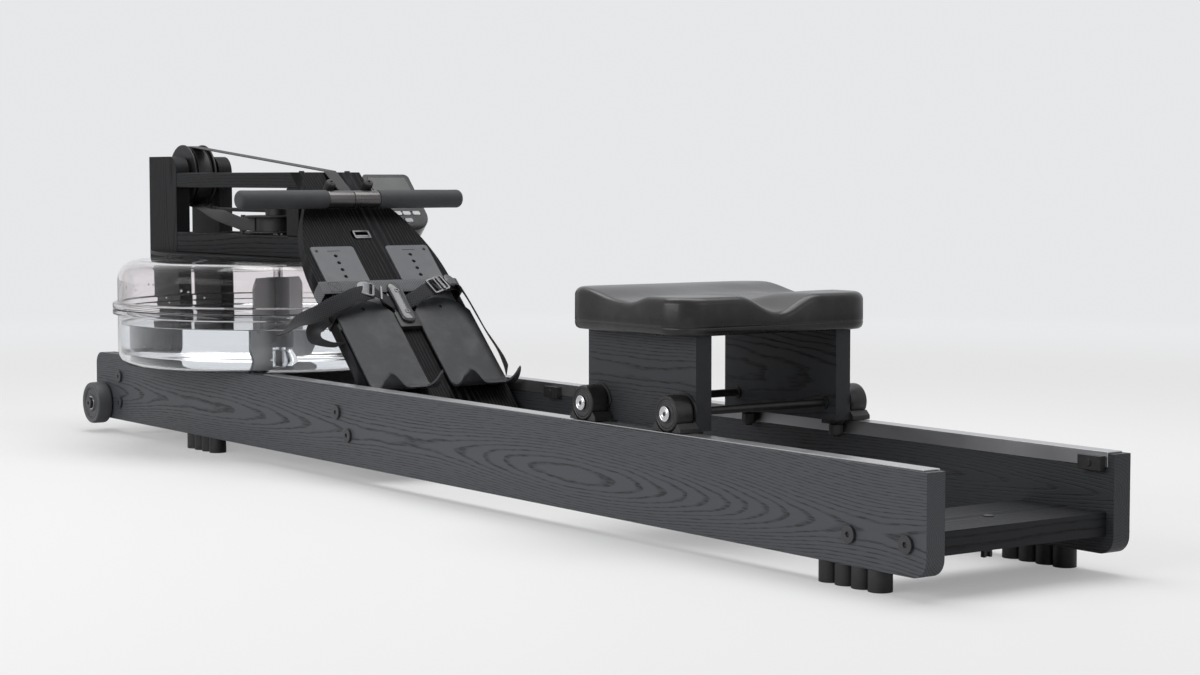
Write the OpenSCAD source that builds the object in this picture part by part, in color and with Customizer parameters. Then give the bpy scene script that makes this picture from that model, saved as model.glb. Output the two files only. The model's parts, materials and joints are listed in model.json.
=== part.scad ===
/* [Rails] */
// Length of each side rail
rail_len = 2098; // [1800:2:2400]
// Height of a side rail
rail_h = 112; // [100:1:125]
// Thickness of a side rail
rail_t = 26; // [22:1:30]
// Clear width between the two rails
rail_gap = 254; // [250:1:270]
// Radius of the rounded lower rear corner and upper front corner of a rail
rail_corner_r = 20; // [8:1:30]
// Height of the rubber feet under the rails
foot_h = 24.3; // [20:0.1:32]
// Diameter of one rubber foot stud
foot_d = 27; // [20:1:28]
// Distance of the rear feet's last stud from the rear end
foot_rear_inset = 84; // [60:1:200]
// Distance of the front feet's first stud from the front end
foot_front_inset = 364; // [300:1:400]

/* [Seat tracks] */
// Thickness of the metal track on top of each rail
track_t = 1.9; // [1.2:0.1:2.5]
// Depth of the track's inner flange
track_flange_h = 15; // [12:1:18]
// Distance from the front end to where the track starts
track_start = 621; // [619:1:700]
// Distance from the front end to the front stops
front_stop_at = 1013; // [950:1:1100]
// Distance from the rear end to the rear stops
rear_stop_at = 29; // [10:1:60]
// Length of a stop block
stop_len = 33; // [24:1:40]

/* [Cross members] */
// Thickness of the spreader boards
spreader_t = 26; // [22:1:30]
// Width of the rear spreader board
rear_spreader_w = 128; // [100:1:150]
// Height of the rear spreader above the rails' lower edge
rear_spreader_up = 21; // [10:1:40]
// Height of the front spreader board
front_spreader_h = 82; // [60:1:90]

/* [Transport wheels] */
// Diameter of a transport wheel
wheel_d = 71; // [60:1:74]
// Width of a transport wheel
wheel_w = 26; // [20:1:34]

/* [Tower] */
// Length of a front post along the machine
post_len = 109; // [90:1:120]
// Thickness of the posts and beams
beam_t = 25; // [20:1:30]
// Clear width between the two posts
post_gap = 56.6; // [54:0.2:70]
// Height of the tower's posts above the floor
post_top = 476; // [470:1:500]
// Height of the upper beams' top face above the floor
beam_top = 448; // [440:1:455]
// Height of an upper beam
upper_beam_h = 25; // [20:1:35]
// Height of a lower beam
lower_beam_h = 34.5; // [28:0.5:36]
// Thickness of the deck board over the tank
deck_t = 6; // [4:0.5:6]
// How far the deck board bulges past the beams
deck_bulge = 58; // [20:1:90]

/* [Tank] */
// Radius of the tank's wall
tank_r = 260; // [250:1:266]
// Width of the tank's joint flange
flange_w = 8; // [5:1:12]
// Height of the tank
tank_h = 169.7; // [160:0.1:175]
// Wall thickness of the tank
tank_wall = 4; // [3:0.5:5]
// Height of the flange band above the tank's floor
flange_up = 82.7; // [75:0.1:90]
// Height of the flange band
flange_band = 18; // [14:1:24]
// Depth of the water in the tank
water_depth = 63; // [30:1:70]
// Distance from the front end to the tank's axis
tank_at = 389; // [380:1:389]

/* [Paddle] */
// Radius of the paddle
paddle_r = 126; // [90:1:150]
// Height of the paddle blades
blade_h = 132; // [100:1:140]
// Thickness of a blade
blade_t = 3; // [2:0.5:5]
// Number of blades
blade_count = 2; // [2:1:6]
// Radius of the paddle shaft
shaft_r = 8; // [6:0.5:10]

/* [Drive strap] */
// Width of the webbing strap
strap_w = 22; // [16:1:26]
// Thickness of the webbing strap
strap_t = 2; // [1.5:0.1:2.5]
// Radius of the top pulley under the strap
pulley_r = 50; // [40:1:54]
// Height of the pulley's axle above the floor
pulley_z = 442.5; // [436:0.5:450]
// Radius of the drum under the strap
drum_r = 38; // [30:1:44]
// Radius of the drum's flanges
drum_flange_r = 54; // [50:1:70]

/* [Handle] */
// Length of the handle
handle_len = 398; // [350:2:460]
// Radius of a foam grip
grip_r = 14.5; // [12:0.5:16]
// Length of each metal sleeve
sleeve_len = 45.5; // [30:0.5:60]
// Radius of a metal sleeve
sleeve_r = 13.5; // [12:0.5:14]
// Distance of the handle up the footboard
handle_up = 368; // [360:1:372]
// Distance of the handle in front of the footboard
handle_out = 18.5; // [17:0.5:24]

/* [Footboard] */
// Lean of the footboard from the vertical, measured at its face's normal
board_lean = 44; // [42:0.5:46]
// Distance from the front end to where the board's face meets the rails' top
board_at = 888; // [880:1:920]
// Thickness of the footboard
board_t = 22; // [18:1:24]
// Half the width of the footboard at the feet
board_half = 118; // [114:1:124]
// Half the width of the footboard's neck
neck_half = 54; // [50:1:60]
// Distance up the board where the shoulders start
shoulder_up = 211; // [190:1:230]
// Distance up the board where the neck is reached
neck_up = 445; // [420:1:460]
// Length of board below the rails' top
board_down = 75; // [60:1:80]
// Diameter of a handle peg
peg_d = 16; // [12:1:18]
// Length of a handle peg
peg_len = 35; // [28:1:42]
// Distance between the two handle pegs
peg_gap = 67; // [56:1:80]

/* [Footrests] */
// Thickness of the plastic foot plates
plate_t = 3; // [2:0.5:4]
// Half the width of a fixed foot plate
plate_half = 37.5; // [30:0.5:44]
// Distance of a fixed foot plate's middle from the machine's middle
plate_y = 66; // [60:1:70]
// Distance between two holes of the foot plates
hole_pitch = 14.5; // [12:0.5:16]
// Number of holes in each foot plate
hole_count = 5; // [3:1:6]
// Half the width of a sliding heel plate
heel_half = 49; // [44:0.5:49]
// Radius of the curl at a heel plate's lower end
curl_r = 26; // [16:1:28]
// Height of a heel lip's dip
lip_low = 20; // [14:1:26]
// Height of a heel lip's peaks
lip_high = 46; // [34:1:48]
// Distance up the board where the foot straps cross
strap_up = 153; // [145:1:160]
// Width of the foot straps
foot_strap_w = 25; // [20:1:30]
// Height of the foot straps above the board
instep_h = 23; // [20:1:40]

/* [Monitor] */
// Width of the monitor
monitor_w = 86; // [80:1:92]
// Height of the monitor
monitor_h = 128; // [120:1:136]
// Thickness of the monitor
monitor_t = 25; // [20:1:30]

/* [Seat] */
// Distance from the front end to the middle of the seat
seat_at = 1559; // [1450:1:1620]
// Length of the seat pad along the machine
pad_len = 244; // [230:1:270]
// Width of the seat pad across the machine
pad_w = 306; // [290:1:320]
// Thickness of the seat pad
pad_t = 52; // [44:1:60]
// Depth of the side hollows and the rear notch of the seat pad
pad_hollow = 13; // [6:1:18]
// Length of a seat side panel
panel_len = 220; // [215:1:230]
// Height of a seat side panel
panel_h = 113; // [100:1:130]
// Thickness of a seat side panel
panel_t = 23.4; // [20:0.2:26]
// Radius of a seat wheel
seat_wheel_r = 22; // [20:0.5:26]
// Width of a seat wheel
seat_wheel_w = 26; // [18:1:28]
// Distance between the seat's two axles
axle_gap = 173; // [150:1:180]
// Radius of a seat axle
axle_r = 5; // [4:0.5:6]
// Radius of a guide roller
roller_r = 9; // [7:0.5:10]
// Height of a guide roller
roller_h = 14; // [10:1:14]

/* [Hidden] */
$fn = 64;
touch_gap = 0.3;
run_gap = 0.05;
slide_gap = 0.4;
cut = 1;
x_front = -rail_len / 2;
x_rear = rail_len / 2;
rail_in = rail_gap / 2;
rail_out = rail_in + rail_t;
rail_mid = rail_in + rail_t / 2;
rail_bottom = foot_h;
rail_top = foot_h + rail_h;
sides = [-1, 1];

track_in = rail_in - 1;
track_edge = 4;
track_len = x_rear - 9 - (x_front + track_start);
roll_z = rail_top + track_t;
stop_y = 9;
stop_h = 16;
stop_top = rail_top - 2.8;
stop_xs = [x_front + front_stop_at, x_rear - rear_stop_at];
stop_screw_r = 4;

foot_pitch = foot_d - 0.4;
foot_studs = 4;
foot_x_rear = x_rear - foot_rear_inset - (foot_studs - 1) * foot_pitch;
foot_x_front = x_front + foot_front_inset;

bolt_r = 4;
bolt_head_r = 10;
bolt_head_t = 4;
bolt_in = 18;
socket_r = 3.4;
socket_depth = 2.6;
front_spreader_x = x_front + tank_at - tank_r - flange_w - 23;
front_spreader_z = rail_bottom + 12;
rear_spreader_x = x_rear - 11 - rear_spreader_w;
rear_spreader_z = rail_bottom + rear_spreader_up;
rear_bolt_z = rear_spreader_z + spreader_t / 2;
foot_block_t = 50;
foot_block_up = 18;
foot_block_bolts = [[-6, -47], [-51, -47]];

board_x = x_front + board_at;
board_z = rail_top + 0.7;
up_x = -cos(board_lean);
up_z = sin(board_lean);
out_x = sin(board_lean);
out_z = cos(board_lean);
function board_point(up, out) = [board_x + up * up_x + out * out_x, board_z + up * up_z + out * out_z];
board_bolts = [for (b = foot_block_bolts) board_point(b[0], b[1])];
front_bolts = [for (k = [0.22, 0.77]) [front_spreader_x, front_spreader_z + k * front_spreader_h]];
rear_bolts = [for (k = [0.16, 0.86]) [rear_spreader_x + k * rear_spreader_w, rear_bolt_z]];
rail_bolts = concat(board_bolts, front_bolts, rear_bolts);

wheel_r = wheel_d / 2;
wheel_x = x_front + wheel_r + 1;
wheel_z = wheel_r + 15;
wheel_gap = 2;
wheel_in = rail_out + wheel_gap;
wheel_hub_r = 12;
wheel_web_r = 27;

post_clear = 2;
post_x1 = x_front + tank_at - tank_r - flange_w - post_clear;
post_x0 = post_x1 - post_len;
post_y = post_gap / 2;
post_bottom = rail_bottom + 16;
post_corner_r = 28;
bumper_r = 9;
bumper_t = 7;
bumper_z = post_top - 14;
tank_x = x_front + tank_at;
tank_z = rail_top;
tank_top = tank_z + tank_h;
deck_z = tank_top;
deck_top = deck_z + deck_t;
lower_beam_top = deck_top + lower_beam_h;
upper_beam_bottom = beam_top - upper_beam_h;
beam_out = post_y + beam_t;
brace_len = 40;
brace_x = board_point((upper_beam_bottom - board_z + board_t * out_z) / up_z, -board_t)[0] - touch_gap - brace_len;
deck_rear = tank_x + 180;

tank_corner_low = 22;
tank_corner_top = 34;
flange_r = tank_r + flange_w;
flange_z = tank_z + flange_up;
flange_mid = flange_z + flange_band / 2;
seal_t = 1.4;
boss_h = 22;
boss_r = 26;
pivot_r = 6;
water_z = tank_z + tank_wall + touch_gap;
blade_z = water_z + 8;
hub_r = 20;
blade_chamfer = 18;
blade_rest = 46;
shaft_low = tank_z + tank_wall + 5;
shaft_pin_top = tank_z + tank_wall + boss_h;
bearing_r = 24;

drum_z = lower_beam_top + 2.2;
drum_rim_t = 3;
drum_groove = strap_w + 1;
spool_r = 20;
spool_h = 14;
spool_rim_r = 27;
drum_top = drum_z + 2 * drum_rim_t + drum_groove;
spool_top = drum_top + spool_h + drum_rim_t;
drum_mid = drum_z + drum_rim_t + drum_groove / 2;
pulley_x = post_x0 + 64;
pulley_w = strap_w + 4;
pulley_rim = 2.5;
cheek_t = 3;
cheek_y = 17;
cheek_r = pulley_r + 4;
pulley_axle_r = 6;
pulley_axle_half = beam_out - 8;
strap_mid_r = pulley_r + touch_gap + strap_t / 2;

handle_c = board_point(handle_up, handle_out);
bar_r = 10;
peg_up = handle_up + sleeve_r + touch_gap + peg_d / 2;
corner_c = board_point((beam_top - board_z) / up_z, 0);
strap_bend_r = 8;
strap_corner = corner_c + (strap_t / 2 + touch_gap + 0.4) * [cos(70), sin(70)];
strap_lift = atan2(strap_corner[1] - pulley_z, strap_corner[0] - pulley_x);
strap_fall = norm(strap_corner - [pulley_x, pulley_z]);
strap_leave = strap_lift + acos(strap_mid_r / strap_fall);
strap_start = [pulley_x + strap_mid_r * cos(strap_leave), pulley_z + strap_mid_r * sin(strap_leave)];
run_in = strap_lift - asin(strap_mid_r / strap_fall);
run_out = atan2(handle_c[1] - strap_corner[1], handle_c[0] - strap_corner[0]);
bend_back = strap_bend_r * tan((run_in - run_out) / 2);
bend_c = strap_corner - bend_back * [cos(run_in), sin(run_in)] + strap_bend_r * [sin(run_in), -cos(run_in)];
strap_end = [handle_c[0] - (sleeve_r + touch_gap) * cos(run_out),
    handle_c[1] - (sleeve_r + touch_gap) * sin(run_out)];

drum_line_r = drum_r + touch_gap + strap_t / 2;
drum_reach = tank_x - pulley_x;
drum_skew = asin(drum_line_r / drum_reach);
roller_post_x = tank_x - 82;
roller_post_r = 6;
return_straight = 18;
return_reach = drum_reach - drum_line_r * sin(drum_skew);
function return_y(along) = -max(0, along - return_straight) * return_reach * tan(drum_skew) / (return_reach - return_straight);
return_y_at_post = return_y(roller_post_x - pulley_x);
roller_post_y = return_y_at_post + strap_t / 2 + touch_gap + roller_post_r;

cord_r = 3.5;
cord_y = spool_r + touch_gap + cord_r;
cord_z = drum_top + spool_h / 2;
cord_x0 = post_x1 - 20;

plate_low = 100;
plate_high = plate_low + 181;
hole_first = 261;
hole_r = 3.2;
heel_y = 68;
heel_side_up = 136;
heel_arch = 29;
heel_arch_r = (heel_half * heel_half + heel_arch * heel_arch) / (2 * heel_arch);
heel_out = plate_t + touch_gap;
curl_turn = 140;
clip_half = 12;
clip_base_half = 14;
clip_len = 80;
clip_base_h = 6;
clip_gap = strap_t + 1;
clip_t = 5;
strap_side = board_half + touch_gap + strap_t / 2;
strap_low = -board_t - touch_gap - strap_t / 2;
strap_mid_out = clip_base_h + 0.5 + strap_t / 2;
strap_slant = 0.28;
flat_strap_up = 191.5;
buckle_y = 66;
buckle_l = 32;
buckle_w = foot_strap_w + 5;
buckle_t = 3;

monitor_out = -board_t - 1;
monitor_y = 117;
monitor_up = (beam_top - 3 - board_z - monitor_out * out_z) / up_z - monitor_h / 2;
screen_t = 1.5;
screen_h = 48;
key_t = 2.4;
key_rx = 6.8;
key_rs = 4;
key_travel = 0.8;
monitor_low = monitor_up - monitor_h / 2;
screen_up = monitor_up + monitor_h / 2 - 7 - screen_h / 2;
key_row = monitor_low + 38;
key_low_row = monitor_low + 22;
key_ys = [monitor_y - 13, monitor_y + 3, monitor_y + 21];
bracket_up = monitor_up + monitor_h / 2 - 16;

seat_x = x_front + seat_at;
wheel_axle_z = roll_z + touch_gap + seat_wheel_r;
panel_out = rail_in - 6;
panel_in = panel_out - panel_t;
panel_z = roll_z + 0.8;
pad_z = panel_z + panel_h + 0.2;
seat_wheel_in = panel_out + 3;
axle_xs = [seat_x - axle_gap / 2 + 2.5, seat_x + axle_gap / 2 + 2.5];
axle_end_r = 8;
shoe_half = 27;
shoe_h = 15;
shoe_gap = 0.8;
roller_y = track_in - touch_gap - roller_r;
roller_z0 = stop_top - roller_h - 0.4;
roller_pin_r = 3;
roller_plate_z = stop_top + 0.7;

stain = [0.13, 0.13, 0.14];
dark_plastic = [0.16, 0.17, 0.18];
grey_plastic = [0.3, 0.31, 0.32];
steel = [0.72, 0.72, 0.73];
rubber_black = [0.07, 0.07, 0.07];
web_black = [0.09, 0.09, 0.1];

// A cylinder along the machine's width, from y0 to y1
module across(x, z, r, y0, y1) {
    translate([x, y0, z]) rotate([-90, 0, 0]) cylinder(r = r, h = y1 - y0);
}

// The frame of the footboard: x runs down the board, z out of its face
module on_board(up = 0, out = 0) {
    translate([board_x, 0, board_z]) rotate([0, board_lean, 0]) translate([-up, 0, out]) children();
}

module rounded_rect(l, w, r) {
    hull() for (a = [-1, 1], b = [-1, 1]) translate([a * (l / 2 - r), b * (w / 2 - r)]) circle(r, $fn = 32);
}

// What a rounded corner leaves over, for cutting away
module corner_waste(r) {
    difference() {
        square(r + cut);
        circle(r);
    }
}

module rail_outline() {
    difference() {
        square([rail_len, rail_h]);
        translate([rail_corner_r, rail_h - rail_corner_r]) rotate(90) corner_waste(rail_corner_r);
        translate([rail_len - rail_corner_r, rail_corner_r]) rotate(-90) corner_waste(rail_corner_r);
    }
}

module rail_bolt_holes(r) {
    for (b = rail_bolts) across(b[0], b[1], r, -rail_out - cut, rail_out + cut);
}

module rail(s) {
    color(stain) difference() {
        translate([x_front, s > 0 ? rail_out : -rail_in, rail_bottom]) rotate([90, 0, 0])
            linear_extrude(rail_t) rail_outline();
        rail_bolt_holes(bolt_r + 0.2);
        across(wheel_x, wheel_z, bolt_r + 0.2, -rail_out - cut, rail_out + cut);
    }
}

module rail_left() { rail(-1); }
module rail_right() { rail(1); }

module seat_tracks() {
    color(steel) for (s = sides) scale([1, s, 1]) {
        translate([x_front + track_start, track_in, rail_top])
            cube([track_len, rail_out - track_edge - track_in, track_t]);
        translate([x_front + track_start, track_in, rail_top - track_flange_h])
            cube([track_len, rail_in - track_in, track_flange_h]);
    }
}

module rear_spreader() {
    color(stain) difference() {
        translate([rear_spreader_x, -rail_in, rear_spreader_z]) cube([rear_spreader_w, rail_gap, spreader_t]);
        rail_bolt_holes(bolt_r + 0.2);
    }
}

module front_spreader() {
    color(stain) difference() {
        translate([front_spreader_x - spreader_t / 2, -rail_in, front_spreader_z])
            cube([spreader_t, rail_gap, front_spreader_h]);
        rail_bolt_holes(bolt_r + 0.2);
    }
}

module foot_spreader() {
    color(stain) difference() {
        on_board(foot_block_up, -board_t - foot_block_t) translate([0, -rail_in, 0])
            cube([board_down + foot_block_up, rail_gap, foot_block_t]);
        rail_bolt_holes(bolt_r + 0.2);
        for (s = sides) scale([1, s, 1])
            translate([x_front + track_start - cut, track_in - touch_gap, rail_top - track_flange_h - touch_gap])
                cube([track_len, rail_gap, track_flange_h + 2 * touch_gap]);
    }
}

// A flat-headed bolt with a hexagon socket, its head on a rail's outer face
module frame_bolt(reach) {
    difference() {
        union() {
            cylinder(r = bolt_head_r, h = bolt_head_t);
            translate([0, 0, -reach]) cylinder(r = bolt_r, h = reach + cut);
        }
        translate([0, 0, bolt_head_t - socket_depth]) cylinder(r = socket_r, h = bolt_head_t, $fn = 6);
    }
}

module frame_bolts() {
    color(rubber_black) for (s = sides) scale([1, s, 1]) {
        for (b = rail_bolts) translate([b[0], rail_out, b[1]]) rotate([-90, 0, 0])
            frame_bolt(rail_t + bolt_in);
        translate([wheel_x, wheel_in + wheel_w + 0.4, wheel_z]) rotate([-90, 0, 0])
            frame_bolt(rail_t + wheel_gap + wheel_w);
    }
}

module rail_stops() {
    color(rubber_black) for (s = sides, x = stop_xs) scale([1, s, 1]) {
        translate([x - stop_len / 2, track_in - stop_y, stop_top - stop_h]) cube([stop_len, stop_y, stop_h]);
        translate([x, track_in - stop_y, stop_top - stop_h / 2]) rotate([90, 0, 0])
            cylinder(r = stop_screw_r, h = 2);
    }
}

module rubber_feet() {
    color(rubber_black) for (s = sides, x0 = [foot_x_front, foot_x_rear])
        union() {
            for (k = [0:foot_studs - 1]) translate([x0 + k * foot_pitch, s * rail_mid, 0])
                cylinder(d = foot_d, h = foot_h);
        }
}

module transport_wheel(s) {
    color(grey_plastic) scale([1, s, 1]) translate([wheel_x, wheel_in + wheel_w / 2, wheel_z])
        rotate([-90, 0, 0]) rotate_extrude() polygon([
            [bolt_r + run_gap, -wheel_w / 2], [wheel_hub_r, -wheel_w / 2], [wheel_hub_r, -wheel_w / 5],
            [wheel_web_r, -wheel_w / 5], [wheel_web_r, -wheel_w / 2 + 1], [wheel_r - 2, -wheel_w / 2 + 1],
            [wheel_r, -wheel_w / 2 + 4], [wheel_r, wheel_w / 2 - 4], [wheel_r - 2, wheel_w / 2 - 1],
            [wheel_web_r, wheel_w / 2 - 1], [wheel_web_r, wheel_w / 5], [wheel_hub_r, wheel_w / 5],
            [wheel_hub_r, wheel_w / 2], [bolt_r + run_gap, wheel_w / 2]]);
}

module transport_wheel_left() { transport_wheel(-1); }
module transport_wheel_right() { transport_wheel(1); }

module front_posts() {
    color(stain) for (s = sides) scale([1, s, 1]) difference() {
        translate([post_x0, beam_out, post_bottom]) rotate([90, 0, 0]) linear_extrude(beam_t) difference() {
            square([post_len, post_top - post_bottom]);
            translate([post_len - post_corner_r, post_top - post_bottom - post_corner_r])
                corner_waste(post_corner_r);
        }
        translate([front_spreader_x - spreader_t / 2, 0, post_bottom - cut])
            cube([spreader_t, rail_gap / 2, front_spreader_z + front_spreader_h - post_bottom + cut]);
        across(pulley_x, pulley_z, pulley_axle_r + run_gap, 0, pulley_axle_half + touch_gap);
    }
}

module post_bumpers() {
    color(rubber_black) for (s = sides) translate([post_x0, s * (post_y + beam_t / 2), bumper_z])
        rotate([0, -90, 0]) rotate_extrude() polygon([[0, 0], [bumper_r, 0], [bumper_r, bumper_t * 0.4],
            [bumper_r * 0.8, bumper_t * 0.8], [bumper_r * 0.5, bumper_t], [0, bumper_t]]);
}

// Everything in front of the footboard's back face
module ahead_of_board_back() {
    on_board(600, -board_t) translate([0, -200, 0]) cube([1000, 400, 400]);
}

module beam_pair(z0, h) {
    color(stain) for (s = sides) scale([1, s, 1]) difference() {
        translate([post_x1, post_y, z0]) cube([board_x - post_x1, beam_t, h]);
        ahead_of_board_back();
    }
}

module upper_beams() { beam_pair(upper_beam_bottom, upper_beam_h); }
module lower_beams() { beam_pair(deck_top, lower_beam_h); }

module rear_braces() {
    color(stain) for (s = sides) scale([1, s, 1])
        translate([brace_x, post_y, lower_beam_top]) cube([brace_len, beam_t, upper_beam_bottom - lower_beam_top]);
}

deck_len = deck_rear - post_x0;
deck_arc_r = (pow(deck_len / 2, 2) + pow(deck_bulge, 2)) / (2 * deck_bulge);
deck_steps = 24;
function deck_half(x) = beam_out + sqrt(pow(deck_arc_r, 2) - pow(x - deck_len / 2, 2)) - deck_arc_r + deck_bulge;

module top_deck() {
    color(stain) difference() {
        translate([post_x0, 0, deck_z]) linear_extrude(deck_t) polygon(concat(
            [for (k = [0:deck_steps]) [deck_len * k / deck_steps, deck_half(deck_len * k / deck_steps)]],
            [for (k = [deck_steps:-1:0]) [deck_len * k / deck_steps, -deck_half(deck_len * k / deck_steps)]]));
        for (s = sides) scale([1, s, 1]) translate([post_x0 - cut, post_y - 0.2, deck_z - cut])
            cube([post_len + cut + 0.2, beam_t + 0.4, deck_t + 2 * cut]);
        translate([tank_x, 0, deck_z - cut]) cylinder(r = bearing_r - 6, h = deck_t + 2 * cut);
    }
}

function arc(cx, cy, r, a0, a1, n) = [for (i = [0:n]) let (a = a0 + (a1 - a0) * i / n) [cx + r * cos(a), cy + r * sin(a)]];

module tank_lower() {
    flange_top = flange_mid - seal_t / 2 - tank_z;
    color([0.75, 0.72, 0.74, 0.4]) translate([tank_x, 0, tank_z]) difference() {
        rotate_extrude($fn = 96) polygon(concat([[0, 0]],
            arc(tank_r - tank_corner_low, tank_corner_low, tank_corner_low, -90, 0, 6),
            [[tank_r, flange_up], [flange_r, flange_up], [flange_r, flange_top],
                [tank_r - tank_wall, flange_top]],
            arc(tank_r - tank_corner_low, tank_corner_low, tank_corner_low - tank_wall, 0, -90, 6),
            [[boss_r, tank_wall], [boss_r * 0.6, tank_wall + boss_h], [0, tank_wall + boss_h]]));
        translate([0, 0, tank_wall + 4]) cylinder(r = pivot_r + run_gap, h = boss_h);
    }
}

module tank_upper() {
    flange_low = flange_mid + seal_t / 2 - tank_z;
    flange_high = flange_up + flange_band;
    color([0.75, 0.72, 0.74, 0.4]) translate([tank_x, 0, tank_z]) rotate_extrude($fn = 96) polygon(concat(
        [[tank_r - tank_wall, flange_low], [flange_r, flange_low], [flange_r, flange_high], [tank_r, flange_high]],
        arc(tank_r - tank_corner_top, tank_h - tank_corner_top, tank_corner_top, 0, 90, 7),
        [[bearing_r - 6, tank_h], [bearing_r - 6, tank_h - tank_wall]],
        arc(tank_r - tank_corner_top, tank_h - tank_corner_top, tank_corner_top - tank_wall, 90, 0, 7)));
}

module tank_seal() {
    color(dark_plastic) translate([tank_x, 0, flange_mid - seal_t / 2]) rotate_extrude($fn = 96)
        translate([tank_r - tank_wall + 1, 0]) square([flange_w + tank_wall - 3, seal_t]);
}

// The water outside and under the space that the paddle sweeps
module tank_water() {
    water_r = tank_r - tank_wall - touch_gap;
    fillet = tank_corner_low - tank_wall - touch_gap;
    clear_r = paddle_r + 3;
    under = blade_z - water_z - 2;
    color([0.8, 0.87, 0.9, 0.4]) translate([tank_x, 0, water_z]) rotate_extrude($fn = 96) polygon(concat(
        [[boss_r + 1, 0]], arc(water_r - fillet, fillet, fillet, -90, 0, 5),
        [[water_r, water_depth], [clear_r, water_depth], [clear_r, under], [boss_r + 1, under]]));
}

module paddle() {
    color(grey_plastic) translate([tank_x, 0, blade_z]) difference() {
        union() {
            translate([0, 0, boss_h - 4]) cylinder(r = hub_r, h = blade_h - boss_h + 4);
            for (k = [0:blade_count - 1]) rotate(k * 360 / blade_count - blade_rest) translate([0, blade_t / 2, 0])
                rotate([90, 0, 0]) linear_extrude(blade_t) polygon([
                    [boss_r + 3, 0], [paddle_r - blade_chamfer, 0], [paddle_r, blade_chamfer],
                    [paddle_r, blade_h - blade_chamfer], [paddle_r - blade_chamfer, blade_h],
                    [hub_r - 4, blade_h], [hub_r - 4, boss_h + 4], [boss_r + 3, boss_h + 4]]);
        }
        translate([0, 0, -cut]) cylinder(r = shaft_r + run_gap, h = blade_h + 2 * cut);
    }
}

module paddle_shaft() {
    color(steel) translate([tank_x, 0, 0]) {
        translate([0, 0, shaft_low]) cylinder(r = pivot_r, h = shaft_pin_top + 2 - shaft_low);
        translate([0, 0, shaft_pin_top + 1]) cylinder(r = shaft_r, h = spool_top + 5 - shaft_pin_top - 1);
    }
}

module shaft_bearing() {
    color(dark_plastic) translate([tank_x, 0, 0]) difference() {
        union() {
            translate([0, 0, deck_top]) cylinder(r = bearing_r, h = 8);
            translate([0, 0, tank_top - tank_wall]) cylinder(r = bearing_r - 6 - 0.1, h = deck_t + tank_wall + cut);
        }
        translate([0, 0, tank_top - tank_wall - cut]) cylinder(r = shaft_r + run_gap, h = 40);
    }
}

module strap_drum() {
    color(dark_plastic) translate([tank_x, 0, 0]) difference() {
        union() {
            translate([0, 0, drum_z]) cylinder(r = drum_flange_r, h = drum_rim_t);
            translate([0, 0, drum_z]) cylinder(r = drum_r, h = drum_top - drum_z);
            translate([0, 0, drum_top - drum_rim_t]) cylinder(r = drum_flange_r, h = drum_rim_t);
            translate([0, 0, drum_top]) cylinder(r = spool_r, h = spool_h);
            translate([0, 0, drum_top + spool_h]) cylinder(r = spool_rim_r, h = drum_rim_t);
        }
        translate([0, 0, drum_z - cut]) cylinder(r = shaft_r + run_gap, h = spool_top - drum_z + 2 * cut);
    }
}

module guide_roller() {
    color(grey_plastic) translate([roller_post_x, roller_post_y, deck_top]) {
        cylinder(r = roller_post_r, h = drum_top - deck_top - 4);
        translate([0, 0, drum_top - deck_top - 4]) cylinder(r = roller_post_r - 2, h = 4);
    }
}

module top_pulley() {
    color(dark_plastic) translate([pulley_x, pulley_w / 2, pulley_z]) rotate([90, 0, 0]) difference() {
        rotate_extrude() polygon([
            [pulley_axle_r + run_gap, 0], [pulley_r + pulley_rim, 0], [pulley_r + pulley_rim, 1],
            [pulley_r, 1.6], [pulley_r, pulley_w - 1.6], [pulley_r + pulley_rim, pulley_w - 1],
            [pulley_r + pulley_rim, pulley_w], [pulley_axle_r + run_gap, pulley_w]]);
        for (k = [0:4]) rotate(k * 72) translate([pulley_r * 0.55, 0, -cut]) cylinder(r = 9, h = pulley_w + 2 * cut);
    }
}

module pulley_axle() {
    color(steel) across(pulley_x, pulley_z, pulley_axle_r, -pulley_axle_half, pulley_axle_half);
}

module pulley_cheeks() {
    color(rubber_black) for (s = sides) scale([1, s, 1]) difference() {
        union() {
            across(pulley_x, pulley_z, cheek_r, cheek_y, cheek_y + cheek_t);
            across(pulley_x, pulley_z, 14, cheek_y, post_y - touch_gap);
        }
        across(pulley_x, pulley_z, pulley_axle_r + 0.2, 0, post_y + cut);
    }
}

// Outline of a band of even thickness t along a path of points
function unit(v) = v / norm(v);
function bend(p, i) = let (n = len(p) - 1, a = i == 0 ? unit(p[1] - p[0]) : unit(p[i] - p[i - 1]),
    b = i == n ? unit(p[n] - p[n - 1]) : unit(p[i + 1] - p[i]), m = unit(a + b)) [-m[1], m[0]] / (m * a);
function band(p, t) = concat([for (i = [0:len(p) - 1]) p[i] + bend(p, i) * t / 2],
    [for (i = [len(p) - 1:-1:0]) p[i] - bend(p, i) * t / 2]);

module strap_run() {
    path = concat([strap_start], arc(bend_c[0], bend_c[1], strap_bend_r, 90 + run_in, 90 + run_out, 5),
        [strap_end]);
    color(web_black) translate([0, strap_w / 2, 0]) rotate([90, 0, 0]) linear_extrude(strap_w)
        polygon(band(path, strap_t));
}

return_steps = 18;
function return_ease(k) = let (q = max(0, min(1, (k / return_steps - 0.12) / 0.55))) q * q * (3 - 2 * q);
function return_fall(k) = min(1, k / return_steps / 0.78);
function return_ring(k) = let (q = k / return_steps, roll = 90 * return_ease(k),
    len_x = return_reach * q,
    c = [pulley_x + len_x, return_y(len_x),
        (pulley_z - strap_mid_r) * (1 - return_fall(k)) + drum_mid * return_fall(k)],
    w = [0, cos(roll), sin(roll)] * strap_w / 2, t = [0, -sin(roll), cos(roll)] * strap_t / 2)
    [c - w - t, c + w - t, c + w + t, c - w + t];

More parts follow.
